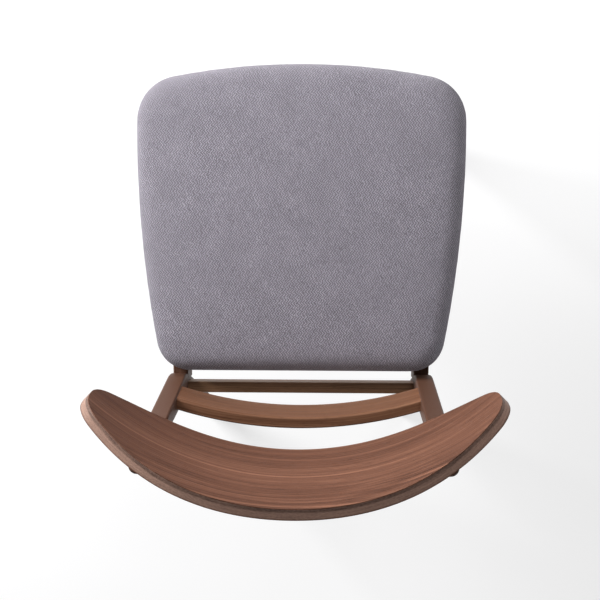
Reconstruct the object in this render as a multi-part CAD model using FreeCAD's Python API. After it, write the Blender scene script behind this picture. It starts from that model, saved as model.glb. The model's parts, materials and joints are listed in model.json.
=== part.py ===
"""Side chair with a bent crest rail, a curved back slat and an upholstered seat.

Millimetres. X runs to the sitter's left, Y to the back and Z up. The origin is on
the floor, at the centre of the chair's overall footprint. Every function returns
closed solids for one node, and mirrored pieces are made once, on the +X side.
"""

import FreeCAD
import Part
from BOPTools import SplitAPI

import math
import os

V = FreeCAD.Vector

# Overall seat and back
SEAT_WIDTH = 478.0
SEAT_DEPTH = 448.0
SEAT_REAR_WIDTH = 403.0
SEAT_FRONT_Y = -292.0
SEAT_REAR_Y = SEAT_FRONT_Y + SEAT_DEPTH
SEAT_FRONT_BOW = 30.0
SEAT_SIDE_BOW = 13.5
SEAT_FRONT_CORNER = 68.0
SEAT_REAR_CORNER = 52.0

# Seat build-up, from the frame upwards
RAIL_TOP = 425.0
DUST_CLOTH = 1.0
BOARD = 12.0
FOAM = 46.0
FABRIC = 1.5
BOARD_INSET = 10.0
BOARD_Z = RAIL_TOP + DUST_CLOTH
FOAM_Z = BOARD_Z + BOARD
SEAT_TOP = FOAM_Z + FOAM + FABRIC
HEM = 26.0

# Rear legs, which run up to carry the back
POST_IN = 166.0
POST_WIDTH = 26.0
POST_OUT = POST_IN + POST_WIDTH
POST_X = POST_IN + POST_WIDTH / 2
BEND_Z = 430.0
BEND_Y = 156.5
LEAN = math.radians(12.2)
SPLAY = math.radians(11.9)
POST_TOP = 771.0
POST_DEPTH_FOOT = 25.0
POST_DEPTH_BEND = 38.0
POST_DEPTH_TOP = 18.5
POST_FRONT_ARRIS = 4.0
POST_BACK_ARRIS = 10.5
GLIDE = 4.0

# Crest rail: a bent panel, leaning back
CREST_LEAN = math.radians(14.0)
CREST_RADIUS = 350.0
CREST_THICK = 14.5
CREST_HEIGHT = 172.0
CREST_FACE_WIDTH = 492.0
CREST_Y = 239.5
CREST_Z = 625.0
CREST_TOP_FALL = 35.0
CREST_TOP_POWER = 3.4
CREST_LOW_RISE = 13.0
CREST_LOW_POWER = 6.1
CREST_FALL_AT = 200.0
CREST_TIP = 44.0
CREST_ARRIS = 2.0

# Curved slat between the posts
SLAT_RADIUS = 550.0
SLAT_THICK = 16.0
SLAT_HEIGHT = 57.0
SLAT_Z = 481.0
SLAT_SETBACK = 4.0
TENON_LENGTH = 12.0
TENON_THICK = 8.0
TENON_HEIGHT = 36.0
REAR_TENON_HEIGHT = 14.0

# Seat frame
RAIL_HEIGHT = 50.0
RAIL_THICK = 22.0
REAR_RAIL_HEIGHT = 45.0
REAR_RAIL_THICK = 16.0
REAR_RAIL_Y = 172.0
FRONT_LEG_X = 188.0
FRONT_LEG_Y = -232.0
FRONT_LEG_TOP = 40.0
FRONT_LEG_FOOT = 24.0
FRONT_LEG_OUT = 12.0
FRONT_LEG_FORWARD = 12.0
ARRIS = 3.0

# Hardware
DOWEL_R = 4.0
DOWEL_LENGTH = 36.0
BOLT_R = 3.0
BOLT_LENGTH = 66.0
BOLT_HEAD_R = 5.0
BOLT_HEAD = 6.0
BOLT_SOCKET = 4.0
COUNTERBORE_R = 7.0
COUNTERBORE = 9.0
WASHER_R = 6.5
WASHER = 1.5
BARREL_R = 5.0
BARREL_LENGTH = 16.0
BOLT_HEIGHTS = (384.0, 416.0)


def along(angle, distance):
    """Y and Z offset of a point that far up a line leaning back by angle."""
    return distance * math.sin(angle), distance * math.cos(angle)


def mirrored(shape):
    """The same piece on the other side of the chair."""
    return shape.mirror(V(0, 0, 0), V(1, 0, 0))


def prism(points, direction):
    """A closed polygon of points swept along a vector."""
    wire = Part.makePolygon([V(*p) for p in points] + [V(*points[0])])
    return Part.Face(wire).extrude(V(*direction))


def rod(radius, start, end):
    """A round bar between two points."""
    start, end = V(*start), V(*end)
    return Part.makeCylinder(radius, (end - start).Length, start, end - start)


def edges_where(shape, test):
    """The edges of a shape whose two end points both pass a test."""
    return [e for e in shape.Edges if all(test(v.Point) for v in e.Vertexes)]


def softened(shape, radius):
    """A board with all its arrises rounded a little."""
    return shape.makeFillet(radius, shape.Edges)


def post_front(z):
    """Y of the rear leg's front face at a height, above the bend."""
    return BEND_Y + (z - BEND_Z) * math.tan(LEAN)


def rear_leg():
    """The sitter's-left rear leg and back post, sawn from one board."""
    foot_y = BEND_Y + (BEND_Z - GLIDE) * math.tan(SPLAY)
    top_y = post_front(POST_TOP)
    side = [
        (foot_y, GLIDE),
        (BEND_Y, BEND_Z),
        (top_y, POST_TOP),
        (top_y + POST_DEPTH_TOP, POST_TOP),
        (BEND_Y + POST_DEPTH_BEND, BEND_Z),
        (foot_y + POST_DEPTH_FOOT, GLIDE),
    ]
    leg = prism([(POST_IN, y, z) for y, z in side], (POST_WIDTH, 0, 0))

    def across(y, z):
        return edges_where(leg, lambda p: abs(p.y - y) < 0.01 and abs(p.z - z) < 0.01)

    bends = across(*side[1]) + across(*side[4])
    leg = leg.makeFillet(140.0, bends)
    back = BEND_Y + POST_DEPTH_TOP

    def along_back(edge):
        a, b = (v.Point for v in edge.Vertexes)
        middle = edge.valueAt((edge.FirstParameter + edge.LastParameter) / 2)
        front = BEND_Y + abs(middle.z - BEND_Z) * math.tan(LEAN)
        return abs(a.z - b.z) > 5 and middle.y > front + POST_DEPTH_TOP / 2

    def along_front(edge):
        a, b = (v.Point for v in edge.Vertexes)
        return abs(a.z - b.z) > 5 and not along_back(edge)

    sides = [e for e in leg.Edges if abs(e.Vertexes[0].X - e.Vertexes[-1].X) < 0.01]
    leg = leg.makeFillet(POST_BACK_ARRIS, [e for e in sides if along_back(e)])
    sides = [
        e
        for e in leg.Edges
        if all(min(abs(v.X - POST_IN), abs(v.X - POST_OUT)) < 0.01 for v in e.Vertexes)
        and abs(e.Vertexes[0].X - e.Vertexes[-1].X) < 0.01
    ]
    leg = leg.makeFillet(POST_FRONT_ARRIS, [e for e in sides if along_front(e)])
    return leg.common(post_cap(back))


def post_cap(back):
    """The space under the post's rounded top, which the leg is trimmed to."""
    crown = POST_WIDTH * 0.62
    low = POST_TOP - crown
    body = Part.makeBox(80, 300, low, V(POST_X - 40, back - 60, 0))
    arch = Part.makeCylinder(crown, 300, V(POST_X, back - 60, low), V(0, 1, 0))
    round_back = 17.0
    top_back = post_front(POST_TOP) + POST_DEPTH_TOP
    slope = Part.makeBox(200, 60, 60, V(POST_X - 100, top_back - round_back, POST_TOP - round_back))
    bead = Part.makeCylinder(
        round_back, 200, V(POST_X - 100, top_back - round_back, POST_TOP - round_back), V(1, 0, 0)
    )
    return body.fuse(arch).cut(slope.cut(bead))


def crest_frame(shape):
    """Places a shape made at the crest's own bottom centre, leaning with it."""
    turn = FreeCAD.Rotation(V(1, 0, 0), -math.degrees(CREST_LEAN))
    shape.Placement = FreeCAD.Placement(V(0, CREST_Y, CREST_Z), turn)
    return shape


def crest_low(x):
    """Height of the crest's bottom edge, which is straight and then sweeps up at the tips."""
    return CREST_LOW_RISE * (abs(x) / CREST_FALL_AT) ** CREST_LOW_POWER


def crest_top(x):
    """Height of the crest's top edge, which falls away towards the tips."""
    return CREST_HEIGHT - CREST_TOP_FALL * (abs(x) / CREST_FALL_AT) ** CREST_TOP_POWER


def crest_edge(height, half):
    """A smooth curve along one long edge of the crest, laid out flat before it is bent."""
    steps = 12
    flat = [half * (k / steps) for k in range(-steps, steps + 1)]
    curve = Part.BSplineCurve()
    curve.interpolate([V(u, 0, height(CREST_RADIUS * math.sin(u / CREST_RADIUS))) for u in flat])
    return curve.toShape()


def crest_blank():
    """The flat outline of the crest, with its four corners rounded."""
    half = CREST_RADIUS * math.asin(CREST_FACE_WIDTH / 2 / CREST_RADIUS)
    low, top = crest_low(CREST_FACE_WIDTH / 2), crest_top(CREST_FACE_WIDTH / 2)
    ends = [Part.LineSegment(V(side, 0, low), V(side, 0, top)).toShape() for side in (-half, half)]
    wire = Part.Wire([crest_edge(crest_low, half), ends[1], crest_edge(crest_top, half), ends[0]])
    sheet = Part.Face(wire).extrude(V(0, CREST_THICK, 0))
    corners = [e for e in sheet.Edges if abs(e.Vertexes[0].Y - e.Vertexes[-1].Y) > 1]
    sheet = sheet.makeFillet(CREST_TIP, corners)
    return min(sheet.Faces, key=lambda f: f.CenterOfMass.y).OuterWire


def bent(point, radius):
    """A point of the flat outline, wrapped round the crest's upright axis at a radius."""
    turn = point.x / CREST_RADIUS
    return V(radius * math.sin(turn), radius * math.cos(turn) - CREST_RADIUS, point.z)


def crest_saw():
    """The ruled surface, square to the panel all round, that the crest's edge is cut along."""
    faces = []
    for edge in crest_blank().Edges:
        points = edge.discretize(Number=25 if edge.Length > 200 else 11)
        rims = []
        for radius in (CREST_RADIUS - 8, CREST_RADIUS + CREST_THICK + 8):
            curve = Part.BSplineCurve()
            curve.interpolate([bent(p, radius) for p in points])
            rims.append(curve.toShape())
        faces.append(Part.makeRuledSurface(*rims))
    return Part.makeShell(faces)


def crest_shell(inner, outer, height, low):
    """A band between two radii round the crest's upright axis, in its own frame."""
    centre = V(0, -CREST_RADIUS, low)
    band = Part.makeCylinder(outer, height, centre).cut(Part.makeCylinder(inner, height, centre))
    corner = V(-2 * outer, -CREST_RADIUS - 2 * outer, low - 5)
    front = Part.makeBox(4 * outer, 2 * outer, 2 * height + 10, corner)
    return band.cut(front)


def crest_rail():
    """The bent panel that the shoulders lean on."""
    band = crest_shell(CREST_RADIUS, CREST_RADIUS + CREST_THICK, CREST_HEIGHT + 40, -20.0)
    middle = V(0, CREST_THICK / 2, CREST_HEIGHT / 2)
    parts = SplitAPI.slice(band, [crest_saw()], "Split").Solids
    panel = [p for p in parts if p.isInside(middle, 0.01, True)][0]
    rims = [e for e in panel.Edges if abs(e.Length - CREST_THICK) > 0.1]
    return crest_frame(panel.makeFillet(CREST_ARRIS, rims))


def slat_band(x_reach, thick, height, setback, rise):
    """A curved, leaning bar in place, between two upright planes at -x_reach and +x_reach."""
    sagitta = SLAT_RADIUS - math.sqrt(SLAT_RADIUS**2 - POST_IN**2)
    turn = FreeCAD.Rotation(V(1, 0, 0), -math.degrees(LEAN))
    outer = Part.makeCylinder(SLAT_RADIUS - setback, height, V(0, -SLAT_RADIUS, rise))
    inner = Part.makeCylinder(SLAT_RADIUS - setback - thick, height, V(0, -SLAT_RADIUS, rise))
    front = Part.makeBox(2400, 1200, height + 20, V(-1200, -SLAT_RADIUS - 1200, rise - 10))
    band = outer.cut(inner).cut(front)
    foot = V(0, post_front(SLAT_Z) + SLAT_SETBACK + sagitta + SLAT_THICK, SLAT_Z)
    band.Placement = FreeCAD.Placement(foot, turn)
    window = Part.makeBox(2 * x_reach, 600, 600, V(-x_reach, 0, 300))
    return band.common(window)


def back_slat():
    """The curved slat, with a tenon into each post."""
    bar = slat_band(POST_IN, SLAT_THICK, SLAT_HEIGHT, 0.0, 0.0)
    lengthways = [e for e in bar.Edges if e.Length > POST_IN]
    bar = bar.makeFillet(ARRIS, lengthways)
    inset = (SLAT_THICK - TENON_THICK) / 2
    rise = (SLAT_HEIGHT - TENON_HEIGHT) / 2
    tenons = slat_band(POST_IN + TENON_LENGTH, TENON_THICK, TENON_HEIGHT, inset, rise)
    return bar.fuse(tenons).removeSplitter()


def rear_rail():
    """The straight rail between the rear legs, behind the seat, with a tenon into each."""
    low = RAIL_TOP - REAR_RAIL_HEIGHT
    rail = Part.makeBox(2 * POST_IN, REAR_RAIL_THICK, REAR_RAIL_HEIGHT, V(-POST_IN, REAR_RAIL_Y, low))
    rail = rail.makeFillet(ARRIS, [e for e in rail.Edges if e.Length > POST_IN])
    reach = POST_IN + TENON_LENGTH
    inset = (REAR_RAIL_THICK - TENON_THICK) / 2
    rise = (REAR_RAIL_HEIGHT - REAR_TENON_HEIGHT) / 2
    corner = V(-reach, REAR_RAIL_Y + inset, low + rise)
    tenons = Part.makeBox(2 * reach, TENON_THICK, REAR_TENON_HEIGHT, corner)
    return rail.fuse(tenons).removeSplitter()


def front_leg():
    """The sitter's-left front leg: tapered, and splayed out and forward."""

    def section(x, y, z, size, corner):
        square = Part.makeBox(size, size, 10, V(x - size / 2, y - size / 2, z))
        upright = [e for e in square.Edges if abs(e.Vertexes[0].Z - e.Vertexes[-1].Z) > 1]
        column = square.makeFillet(corner, upright)
        return min(column.Faces, key=lambda f: f.CenterOfMass.z).OuterWire

    foot_x, foot_y = FRONT_LEG_X + FRONT_LEG_OUT, FRONT_LEG_Y - FRONT_LEG_FORWARD
    foot = section(foot_x, foot_y, GLIDE, FRONT_LEG_FOOT, 8.0)
    top = section(FRONT_LEG_X, FRONT_LEG_Y, RAIL_TOP, FRONT_LEG_TOP, 8.0)
    return Part.makeLoft([foot, top], True, True)


def front_rail(legs):
    """The rail between the front legs, cut to them at both ends."""
    y = FRONT_LEG_Y - RAIL_THICK / 2 - 4
    corner = V(-FRONT_LEG_X, y, RAIL_TOP - RAIL_HEIGHT)
    rail = Part.makeBox(2 * FRONT_LEG_X, RAIL_THICK, RAIL_HEIGHT, corner)
    rail = rail.makeFillet(ARRIS, [e for e in rail.Edges if e.Length > FRONT_LEG_X])
    return largest(rail.cut(legs))


def side_rail_inner(y):
    """X of the left side rail's inner face at a distance along the chair."""
    front_in = FRONT_LEG_X - RAIL_THICK / 2 + 1
    rear_in = POST_OUT - RAIL_THICK
    share = (y - FRONT_LEG_Y) / (BEND_Y - FRONT_LEG_Y)
    return front_in + (rear_in - front_in) * share


def side_rail(leg, post):
    """The left side rail, from the front leg to the rear leg."""
    low = RAIL_TOP - RAIL_HEIGHT
    rear_y = BEND_Y + 12
    ends = [
        (side_rail_inner(FRONT_LEG_Y), FRONT_LEG_Y),
        (side_rail_inner(FRONT_LEG_Y) + RAIL_THICK, FRONT_LEG_Y),
        (side_rail_inner(rear_y) + RAIL_THICK, rear_y),
        (side_rail_inner(rear_y), rear_y),
    ]
    rail = prism([(x, y, low) for x, y in ends], (0, 0, RAIL_HEIGHT))
    rail = rail.makeFillet(ARRIS, [e for e in rail.Edges if e.Length > 300])
    return largest(rail.cut(leg).cut(post))


def largest(shape):
    """The biggest solid of a cut, without its offcuts."""
    return max(shape.Solids, key=lambda s: s.Volume)


def corner_block(leg):
    """The left front corner block, glued and screwed inside the frame."""
    inner_y = FRONT_LEG_Y - RAIL_THICK / 2 - 4 + RAIL_THICK
    corner_x = side_rail_inner(inner_y)
    reach = 82.0
    tip = 9.0
    outline = [
        (corner_x - reach, inner_y),
        (corner_x, inner_y),
        (side_rail_inner(inner_y + reach), inner_y + reach),
        (corner_x - tip, inner_y + reach),
        (corner_x - reach, inner_y + tip),
    ]
    block = prism([(x, y, RAIL_TOP - 32) for x, y in outline], (0, 0, 24.0))
    return largest(block.cut(leg))


def seat_outline(inset):
    """The seat's plan as a face at Z 0, drawn in by inset all round."""
    half_front = SEAT_WIDTH / 2 - inset
    half_rear = SEAT_REAR_WIDTH / 2 - inset
    front = SEAT_FRONT_Y + inset
    rear = SEAT_REAR_Y - inset
    corner_y = front + SEAT_FRONT_BOW
    wide_y = (corner_y + rear) / 2
    wide_x = (half_front + half_rear) / 2 + SEAT_SIDE_BOW
    nose = Part.Arc(V(-half_front, corner_y, 0), V(0, front, 0), V(half_front, corner_y, 0))
    left = Part.Arc(V(half_front, corner_y, 0), V(wide_x, wide_y, 0), V(half_rear, rear, 0))
    back = Part.LineSegment(V(half_rear, rear, 0), V(-half_rear, rear, 0))
    right = Part.Arc(V(-half_rear, rear, 0), V(-wide_x, wide_y, 0), V(-half_front, corner_y, 0))
    return Part.Face(Part.Wire([e.toShape() for e in (nose, left, back, right)]))


def seat_slab(inset, low, high, top_round=0.0, bottom_round=0.0):
    """A slab of the seat's plan between two heights, with rounded corners and rims."""
    face = seat_outline(inset)
    face.translate(V(0, 0, low))
    slab = face.extrude(V(0, 0, high - low))
    upright = [e for e in slab.Edges if abs(e.Vertexes[0].Z - e.Vertexes[-1].Z) > 0.5]
    front = [e for e in upright if e.CenterOfMass.y < 0]
    rear = [e for e in upright if e.CenterOfMass.y > 0]
    slab = slab.makeFillet(SEAT_FRONT_CORNER - inset, front)
    rear_x = [v.Point for e in rear for v in e.Vertexes]
    rear = [
        e
        for e in slab.Edges
        if len(e.Vertexes) == 2
        and abs(e.Vertexes[0].Z - e.Vertexes[1].Z) > 0.5
        and any((e.Vertexes[0].Point - p).Length < 0.01 for p in rear_x)
    ]
    slab = slab.makeFillet(SEAT_REAR_CORNER - inset, rear)
    if top_round:
        rim = edges_where(slab, lambda p: abs(p.z - high) < 0.01)
        slab = slab.makeFillet(top_round, rim)
    if bottom_round:
        rim = edges_where(slab, lambda p: abs(p.z - low) < 0.01)
        slab = slab.makeFillet(bottom_round, rim)
    return slab


def seat_parts():
    """Board, foam, fabric cover and dust cloth, which nest without overlapping."""
    board = seat_slab(BOARD_INSET, BOARD_Z, FOAM_Z)
    foam = seat_slab(FABRIC, FOAM_Z, SEAT_TOP - FABRIC, 26.0, 0.0)
    skin = seat_slab(0.0, FOAM_Z - BOARD * 0.5, SEAT_TOP, 27.5, 4.0)
    wrap = seat_slab(BOARD_INSET - FABRIC, BOARD_Z - DUST_CLOTH, FOAM_Z)
    opening = seat_slab(BOARD_INSET + HEM, BOARD_Z - 5, BOARD_Z)
    cover = skin.fuse(wrap).cut(board.fuse(foam)).cut(opening)
    cloth = seat_slab(BOARD_INSET + HEM, BOARD_Z - DUST_CLOTH, BOARD_Z)
    return {
        "seat_board": board,
        "seat_foam": foam,
        "seat_cover": largest(cover),
        "dust_cloth": cloth,
    }


def dowel(start, direction, length=DOWEL_LENGTH):
    """A fluted-length dowel, made plain, centred on a joint line."""
    start, direction = V(*start), V(*direction)
    return Part.makeCylinder(DOWEL_R, length, start - direction * (length / 2), direction)


def frame_dowels():
    """Dowels between the left front leg and the front and side rails."""
    front_y = FRONT_LEG_Y - 4
    side_x = side_rail_inner(FRONT_LEG_Y + 20) + RAIL_THICK / 2
    made = []
    for z in (388.0, 411.0):
        made.append(dowel((FRONT_LEG_X - FRONT_LEG_TOP / 2, front_y, z), (1, 0, 0), 30.0))
        made.append(dowel((side_x, FRONT_LEG_Y + FRONT_LEG_TOP / 2, z), (0, 1, 0), 30.0))
    return made


def bolt_seat_y():
    """Y of the flat bottom of the counterbores in the rear legs' backs."""
    return BEND_Y + POST_DEPTH_BEND - COUNTERBORE + 3.0


def bolt_line_x():
    """X of the bolts, in the middle of the side rail's rear end."""
    return side_rail_inner(BEND_Y) + RAIL_THICK / 2 - 1


def frame_bolts():
    """Two socket-head bolts from the back of the left rear leg into the side rail."""
    made = []
    for z in BOLT_HEIGHTS:
        seat = bolt_seat_y() + WASHER
        shank = rod(BOLT_R, (bolt_line_x(), seat - BOLT_LENGTH, z), (bolt_line_x(), seat, z))
        head = rod(BOLT_HEAD_R, (bolt_line_x(), seat, z), (bolt_line_x(), seat + BOLT_HEAD, z))
        rims = [e for e in head.Edges if e.CenterOfMass.y > seat + 1 and len(e.Vertexes) == 1]
        head = head.makeFillet(0.8, rims)
        corner = BOLT_SOCKET / math.sqrt(3)
        hexagon = [
            (
                bolt_line_x() + corner * math.cos(math.radians(60 * k)),
                seat + BOLT_HEAD,
                z + corner * math.sin(math.radians(60 * k)),
            )
            for k in range(6)
        ]
        socket = prism(hexagon, (0, -3.2, 0))
        made.append(shank.fuse(head).cut(socket))
    return made


def frame_washers():
    """A flat washer under each bolt head."""
    made = []
    for z in BOLT_HEIGHTS:
        low = (bolt_line_x(), bolt_seat_y(), z)
        high = (bolt_line_x(), bolt_seat_y() + WASHER, z)
        made.append(rod(WASHER_R, low, high).cut(rod(BOLT_R, low, high)))
    return made


def barrel_nuts():
    """The cross dowels in the left side rail that the bolts pull on."""
    made = []
    y = bolt_seat_y() + WASHER - BOLT_LENGTH + 7
    middle = side_rail_inner(y) + RAIL_THICK / 2
    for z in BOLT_HEIGHTS:
        nut = rod(BARREL_R, (middle - BARREL_LENGTH / 2, y, z), (middle + BARREL_LENGTH / 2, y, z))
        made.append(nut.cut(rod(BOLT_R, (bolt_line_x(), y - 20, z), (bolt_line_x(), y + 20, z))))
    return made


def bolt_clearance():
    """The counterbores and bolt holes to cut in the left rear leg and side rail."""
    made = []
    for z in BOLT_HEIGHTS:
        deep = bolt_seat_y()
        made.append(rod(COUNTERBORE_R, (bolt_line_x(), deep, z), (bolt_line_x(), deep + 60, z)))
        made.append(rod(BOLT_R, (bolt_line_x(), deep - BOLT_LENGTH + WASHER, z), (bolt_line_x(), deep, z)))
    return made


def screw(tip, head, shank_r, head_r, head_length):
    """A countersunk wood screw from its tip to the face of its head."""
    tip, head = V(*tip), V(*head)
    axis = (head - tip).normalize()
    length = (head - tip).Length
    point = Part.makeCone(0.3, shank_r, 4.0, tip, axis)
    shank = Part.makeCylinder(shank_r, length - 4.0 - head_length, tip + axis * 4.0, axis)
    cone = Part.makeCone(shank_r, head_r, head_length, tip + axis * (length - head_length), axis)
    recess = Part.makeBox(1.0, 2 * head_r * 0.5, 1.2)
    recess.translate(V(-0.5, -head_r * 0.5, -1.2))
    cross = recess.fuse(recess.rotated(V(0, 0, 0), V(0, 0, 1), 90))
    cross.Placement = FreeCAD.Placement(head, FreeCAD.Rotation(V(0, 0, 1), axis))
    return point.fuse(shank).fuse(cone).cut(cross)


CREST_SCREWS = (42.0, 104.0)


def crest_screw_line(rise):
    """A point on the crest's back, on a screw's axis through the left post, and its direction."""
    back_radius = CREST_RADIUS + CREST_THICK
    y = -CREST_RADIUS + math.sqrt(back_radius**2 - POST_X**2)
    point = V(POST_X, CREST_Y, CREST_Z) + V(
        0,
        y * math.cos(CREST_LEAN) + rise * math.sin(CREST_LEAN),
        -y * math.sin(CREST_LEAN) + rise * math.cos(CREST_LEAN),
    )
    return point, V(0, math.cos(LEAN), -math.sin(LEAN))


def crest_screws():
    """Two screws through the left post into the back of the crest."""
    made = []
    for rise in CREST_SCREWS:
        point, out = crest_screw_line(rise)
        made.append(screw(tuple(point - out * 7.0), tuple(point + out * 9.0), 1.9, 3.8, 2.6))
    return made


def crest_plugs(leg):
    """Wooden plugs over the crest screws, trimmed flush with the post's back."""
    made = []
    for rise in CREST_SCREWS:
        point, out = crest_screw_line(rise)
        blank = Part.makeCylinder(4.6, 30, point + out * 9.0, out)
        made.append(largest(blank.common(leg)))
    return made


def crest_bores():
    """The holes for the crest screws and their plugs, in the left post and the crest."""
    made = []
    for rise in CREST_SCREWS:
        point, out = crest_screw_line(rise)
        made.append(Part.makeCylinder(4.6, 40, point + out * 9.0, out))
    return made


def block_hardware():
    """The hanger bolt, nut and washer that pull the left front leg to its corner block."""
    inner_y = FRONT_LEG_Y - RAIL_THICK / 2 - 4 + RAIL_THICK
    corner = V(side_rail_inner(inner_y), inner_y, RAIL_TOP - 25)
    inward = V(-1, 1, 0).normalize()
    face = corner + inward * (82.0 + 9.0) / math.sqrt(2)
    bolt = Part.makeCylinder(3.0, 84.0, face + inward * 12.0, -inward)
    washer = Part.makeCylinder(8.0, 1.5, face, inward).cut(Part.makeCylinder(3.0, 9, face, inward))
    corner_r = 10.0 / math.sqrt(3)
    hexagon = [
        V(corner_r * math.cos(math.radians(60 * k)), corner_r * math.sin(math.radians(60 * k)), 0)
        for k in range(7)
    ]
    nut = Part.Face(Part.makePolygon(hexagon)).extrude(V(0, 0, 5.0))
    nut = nut.cut(Part.makeCylinder(3.0, 5.0))
    nut.Placement = FreeCAD.Placement(face + inward * 1.5, FreeCAD.Rotation(V(0, 0, 1), inward))
    return bolt, nut, washer


def block_screw_lines():
    """Tip and head of the two screws that hold the left corner block to its rails."""
    inner_y = FRONT_LEG_Y - RAIL_THICK / 2 - 4 + RAIL_THICK
    z, aside = RAIL_TOP - 20, 58.0
    x, y = side_rail_inner(inner_y) - aside, inner_y + aside
    side_x = side_rail_inner(y)
    to_front = ((x, inner_y - 16, z), (x, inner_y + 21, z))
    to_side = ((side_x + 16, y, z), (side_x - 21, y, z))
    return to_front, to_side


def block_screws():
    """The screws through the left corner block into the front and side rails."""
    return [screw(tip, head, 2.0, 4.0, 3.0) for tip, head in block_screw_lines()]


def block_bores():
    """The counterbores that let those screws' heads into the block."""
    made = []
    for tip, head in block_screw_lines():
        out = (V(*head) - V(*tip)).normalize()
        made.append(Part.makeCylinder(4.6, 60.0, V(*head), out))
    return made


def seat_bracket():
    """The left rear angle bracket: one flange on the side rail, one under the board."""
    y, length, flange, gauge = 92.0, 34.0, 24.0, 2.0
    wall = Part.makeBox(gauge, length, flange, V(-gauge, -length / 2, -flange))
    shelf = Part.makeBox(flange, length, gauge, V(-flange, -length / 2, -gauge))
    plate = wall.fuse(shelf).removeSplitter()
    inner = V(-gauge, 0, -gauge)
    inside = [e for e in plate.Edges if (e.CenterOfMass - inner).Length < 0.01]
    plate = plate.makeFillet(1.5, inside)
    for offset in (-9.0, 9.0):
        plate = plate.cut(rod(2.1, (-9, offset, -14), (3, offset, -14)))
    plate = plate.cut(rod(2.1, (-14, 0, -9), (-14, 0, 3)))
    angle = math.degrees(math.atan2(side_rail_inner(0.0) - side_rail_inner(100.0), 100.0))
    where = V(side_rail_inner(y), y, RAIL_TOP)
    plate.Placement = FreeCAD.Placement(where, FreeCAD.Rotation(V(0, 0, 1), angle))
    return plate


def bracket_screws():
    """The screws through the left bracket into the side rail."""
    made = []
    slope = side_rail_inner(0.0) - side_rail_inner(1.0)
    for offset in (-9.0, 9.0):
        y = 92.0 + offset
        x = side_rail_inner(y)
        tip = (x + 15, y - 15 * slope, RAIL_TOP - 14)
        head = (x - 2.4, y + 2.4 * slope, RAIL_TOP - 14)
        made.append(screw(tip, head, 1.9, 3.6, 2.2))
    return made


def seat_screws():
    """The screws that hold the seat: one up through the block and one through the bracket."""
    inner_y = FRONT_LEG_Y - RAIL_THICK / 2 - 4 + RAIL_THICK
    x, y = side_rail_inner(inner_y) - 46.0, inner_y + 21.0
    low = RAIL_TOP - 32
    block = screw((x, y, BOARD_Z + 8), (x, y, low), 2.1, 4.4, 3.4)
    bx = side_rail_inner(92.0) - 14.0
    bracket = screw((bx, 92.0, BOARD_Z + 8), (bx, 92.0, RAIL_TOP - 2.6), 2.1, 4.2, 2.4)
    return [block, bracket]


def staples(board_under, frame):
    """The crowns of the staples that hold the cover's hem, wherever the frame leaves room."""
    crown, wire, pitch = 10.0, 0.9, 34.0
    path = seat_slab(BOARD_INSET + HEM * 0.55, 0, 1)
    loop = min(path.Faces, key=lambda f: f.CenterOfMass.z).OuterWire
    count = int(loop.Length / pitch)
    points = loop.discretize(Number=count + 1)
    made = []
    for a, b in zip(points[:-1], points[1:]):
        middle = (a + b) * 0.5
        turn = FreeCAD.Rotation(V(1, 0, 0), b - a)
        bar = Part.makeBox(crown, wire, wire, V(-crown / 2, -wire / 2, -wire))
        bar.Placement = FreeCAD.Placement(V(middle.x, middle.y, board_under), turn)
        if bar.distToShape(frame)[0] > 2.0:
            made.append(bar)
    return made


def glide(x, y):
    """A round nylon glide with its nail, under one foot."""
    pad = Part.makeCylinder(9.0, GLIDE, V(x, y, 0))
    pad = pad.makeFillet(1.4, [e for e in pad.Edges if e.CenterOfMass.z < 0.1 and len(e.Vertexes) == 1])
    return pad.fuse(Part.makeCylinder(1.4, 14.0, V(x, y, GLIDE)))


def both(shapes):
    """A list of left-hand solids with their mirror images, as one compound."""
    return Part.makeCompound(list(shapes) + [mirrored(s) for s in shapes])


def cut_all(shape, tools):
    """A shape with a list of tools cut out of it."""
    return largest(shape.cut(Part.makeCompound(list(tools))))


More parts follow.
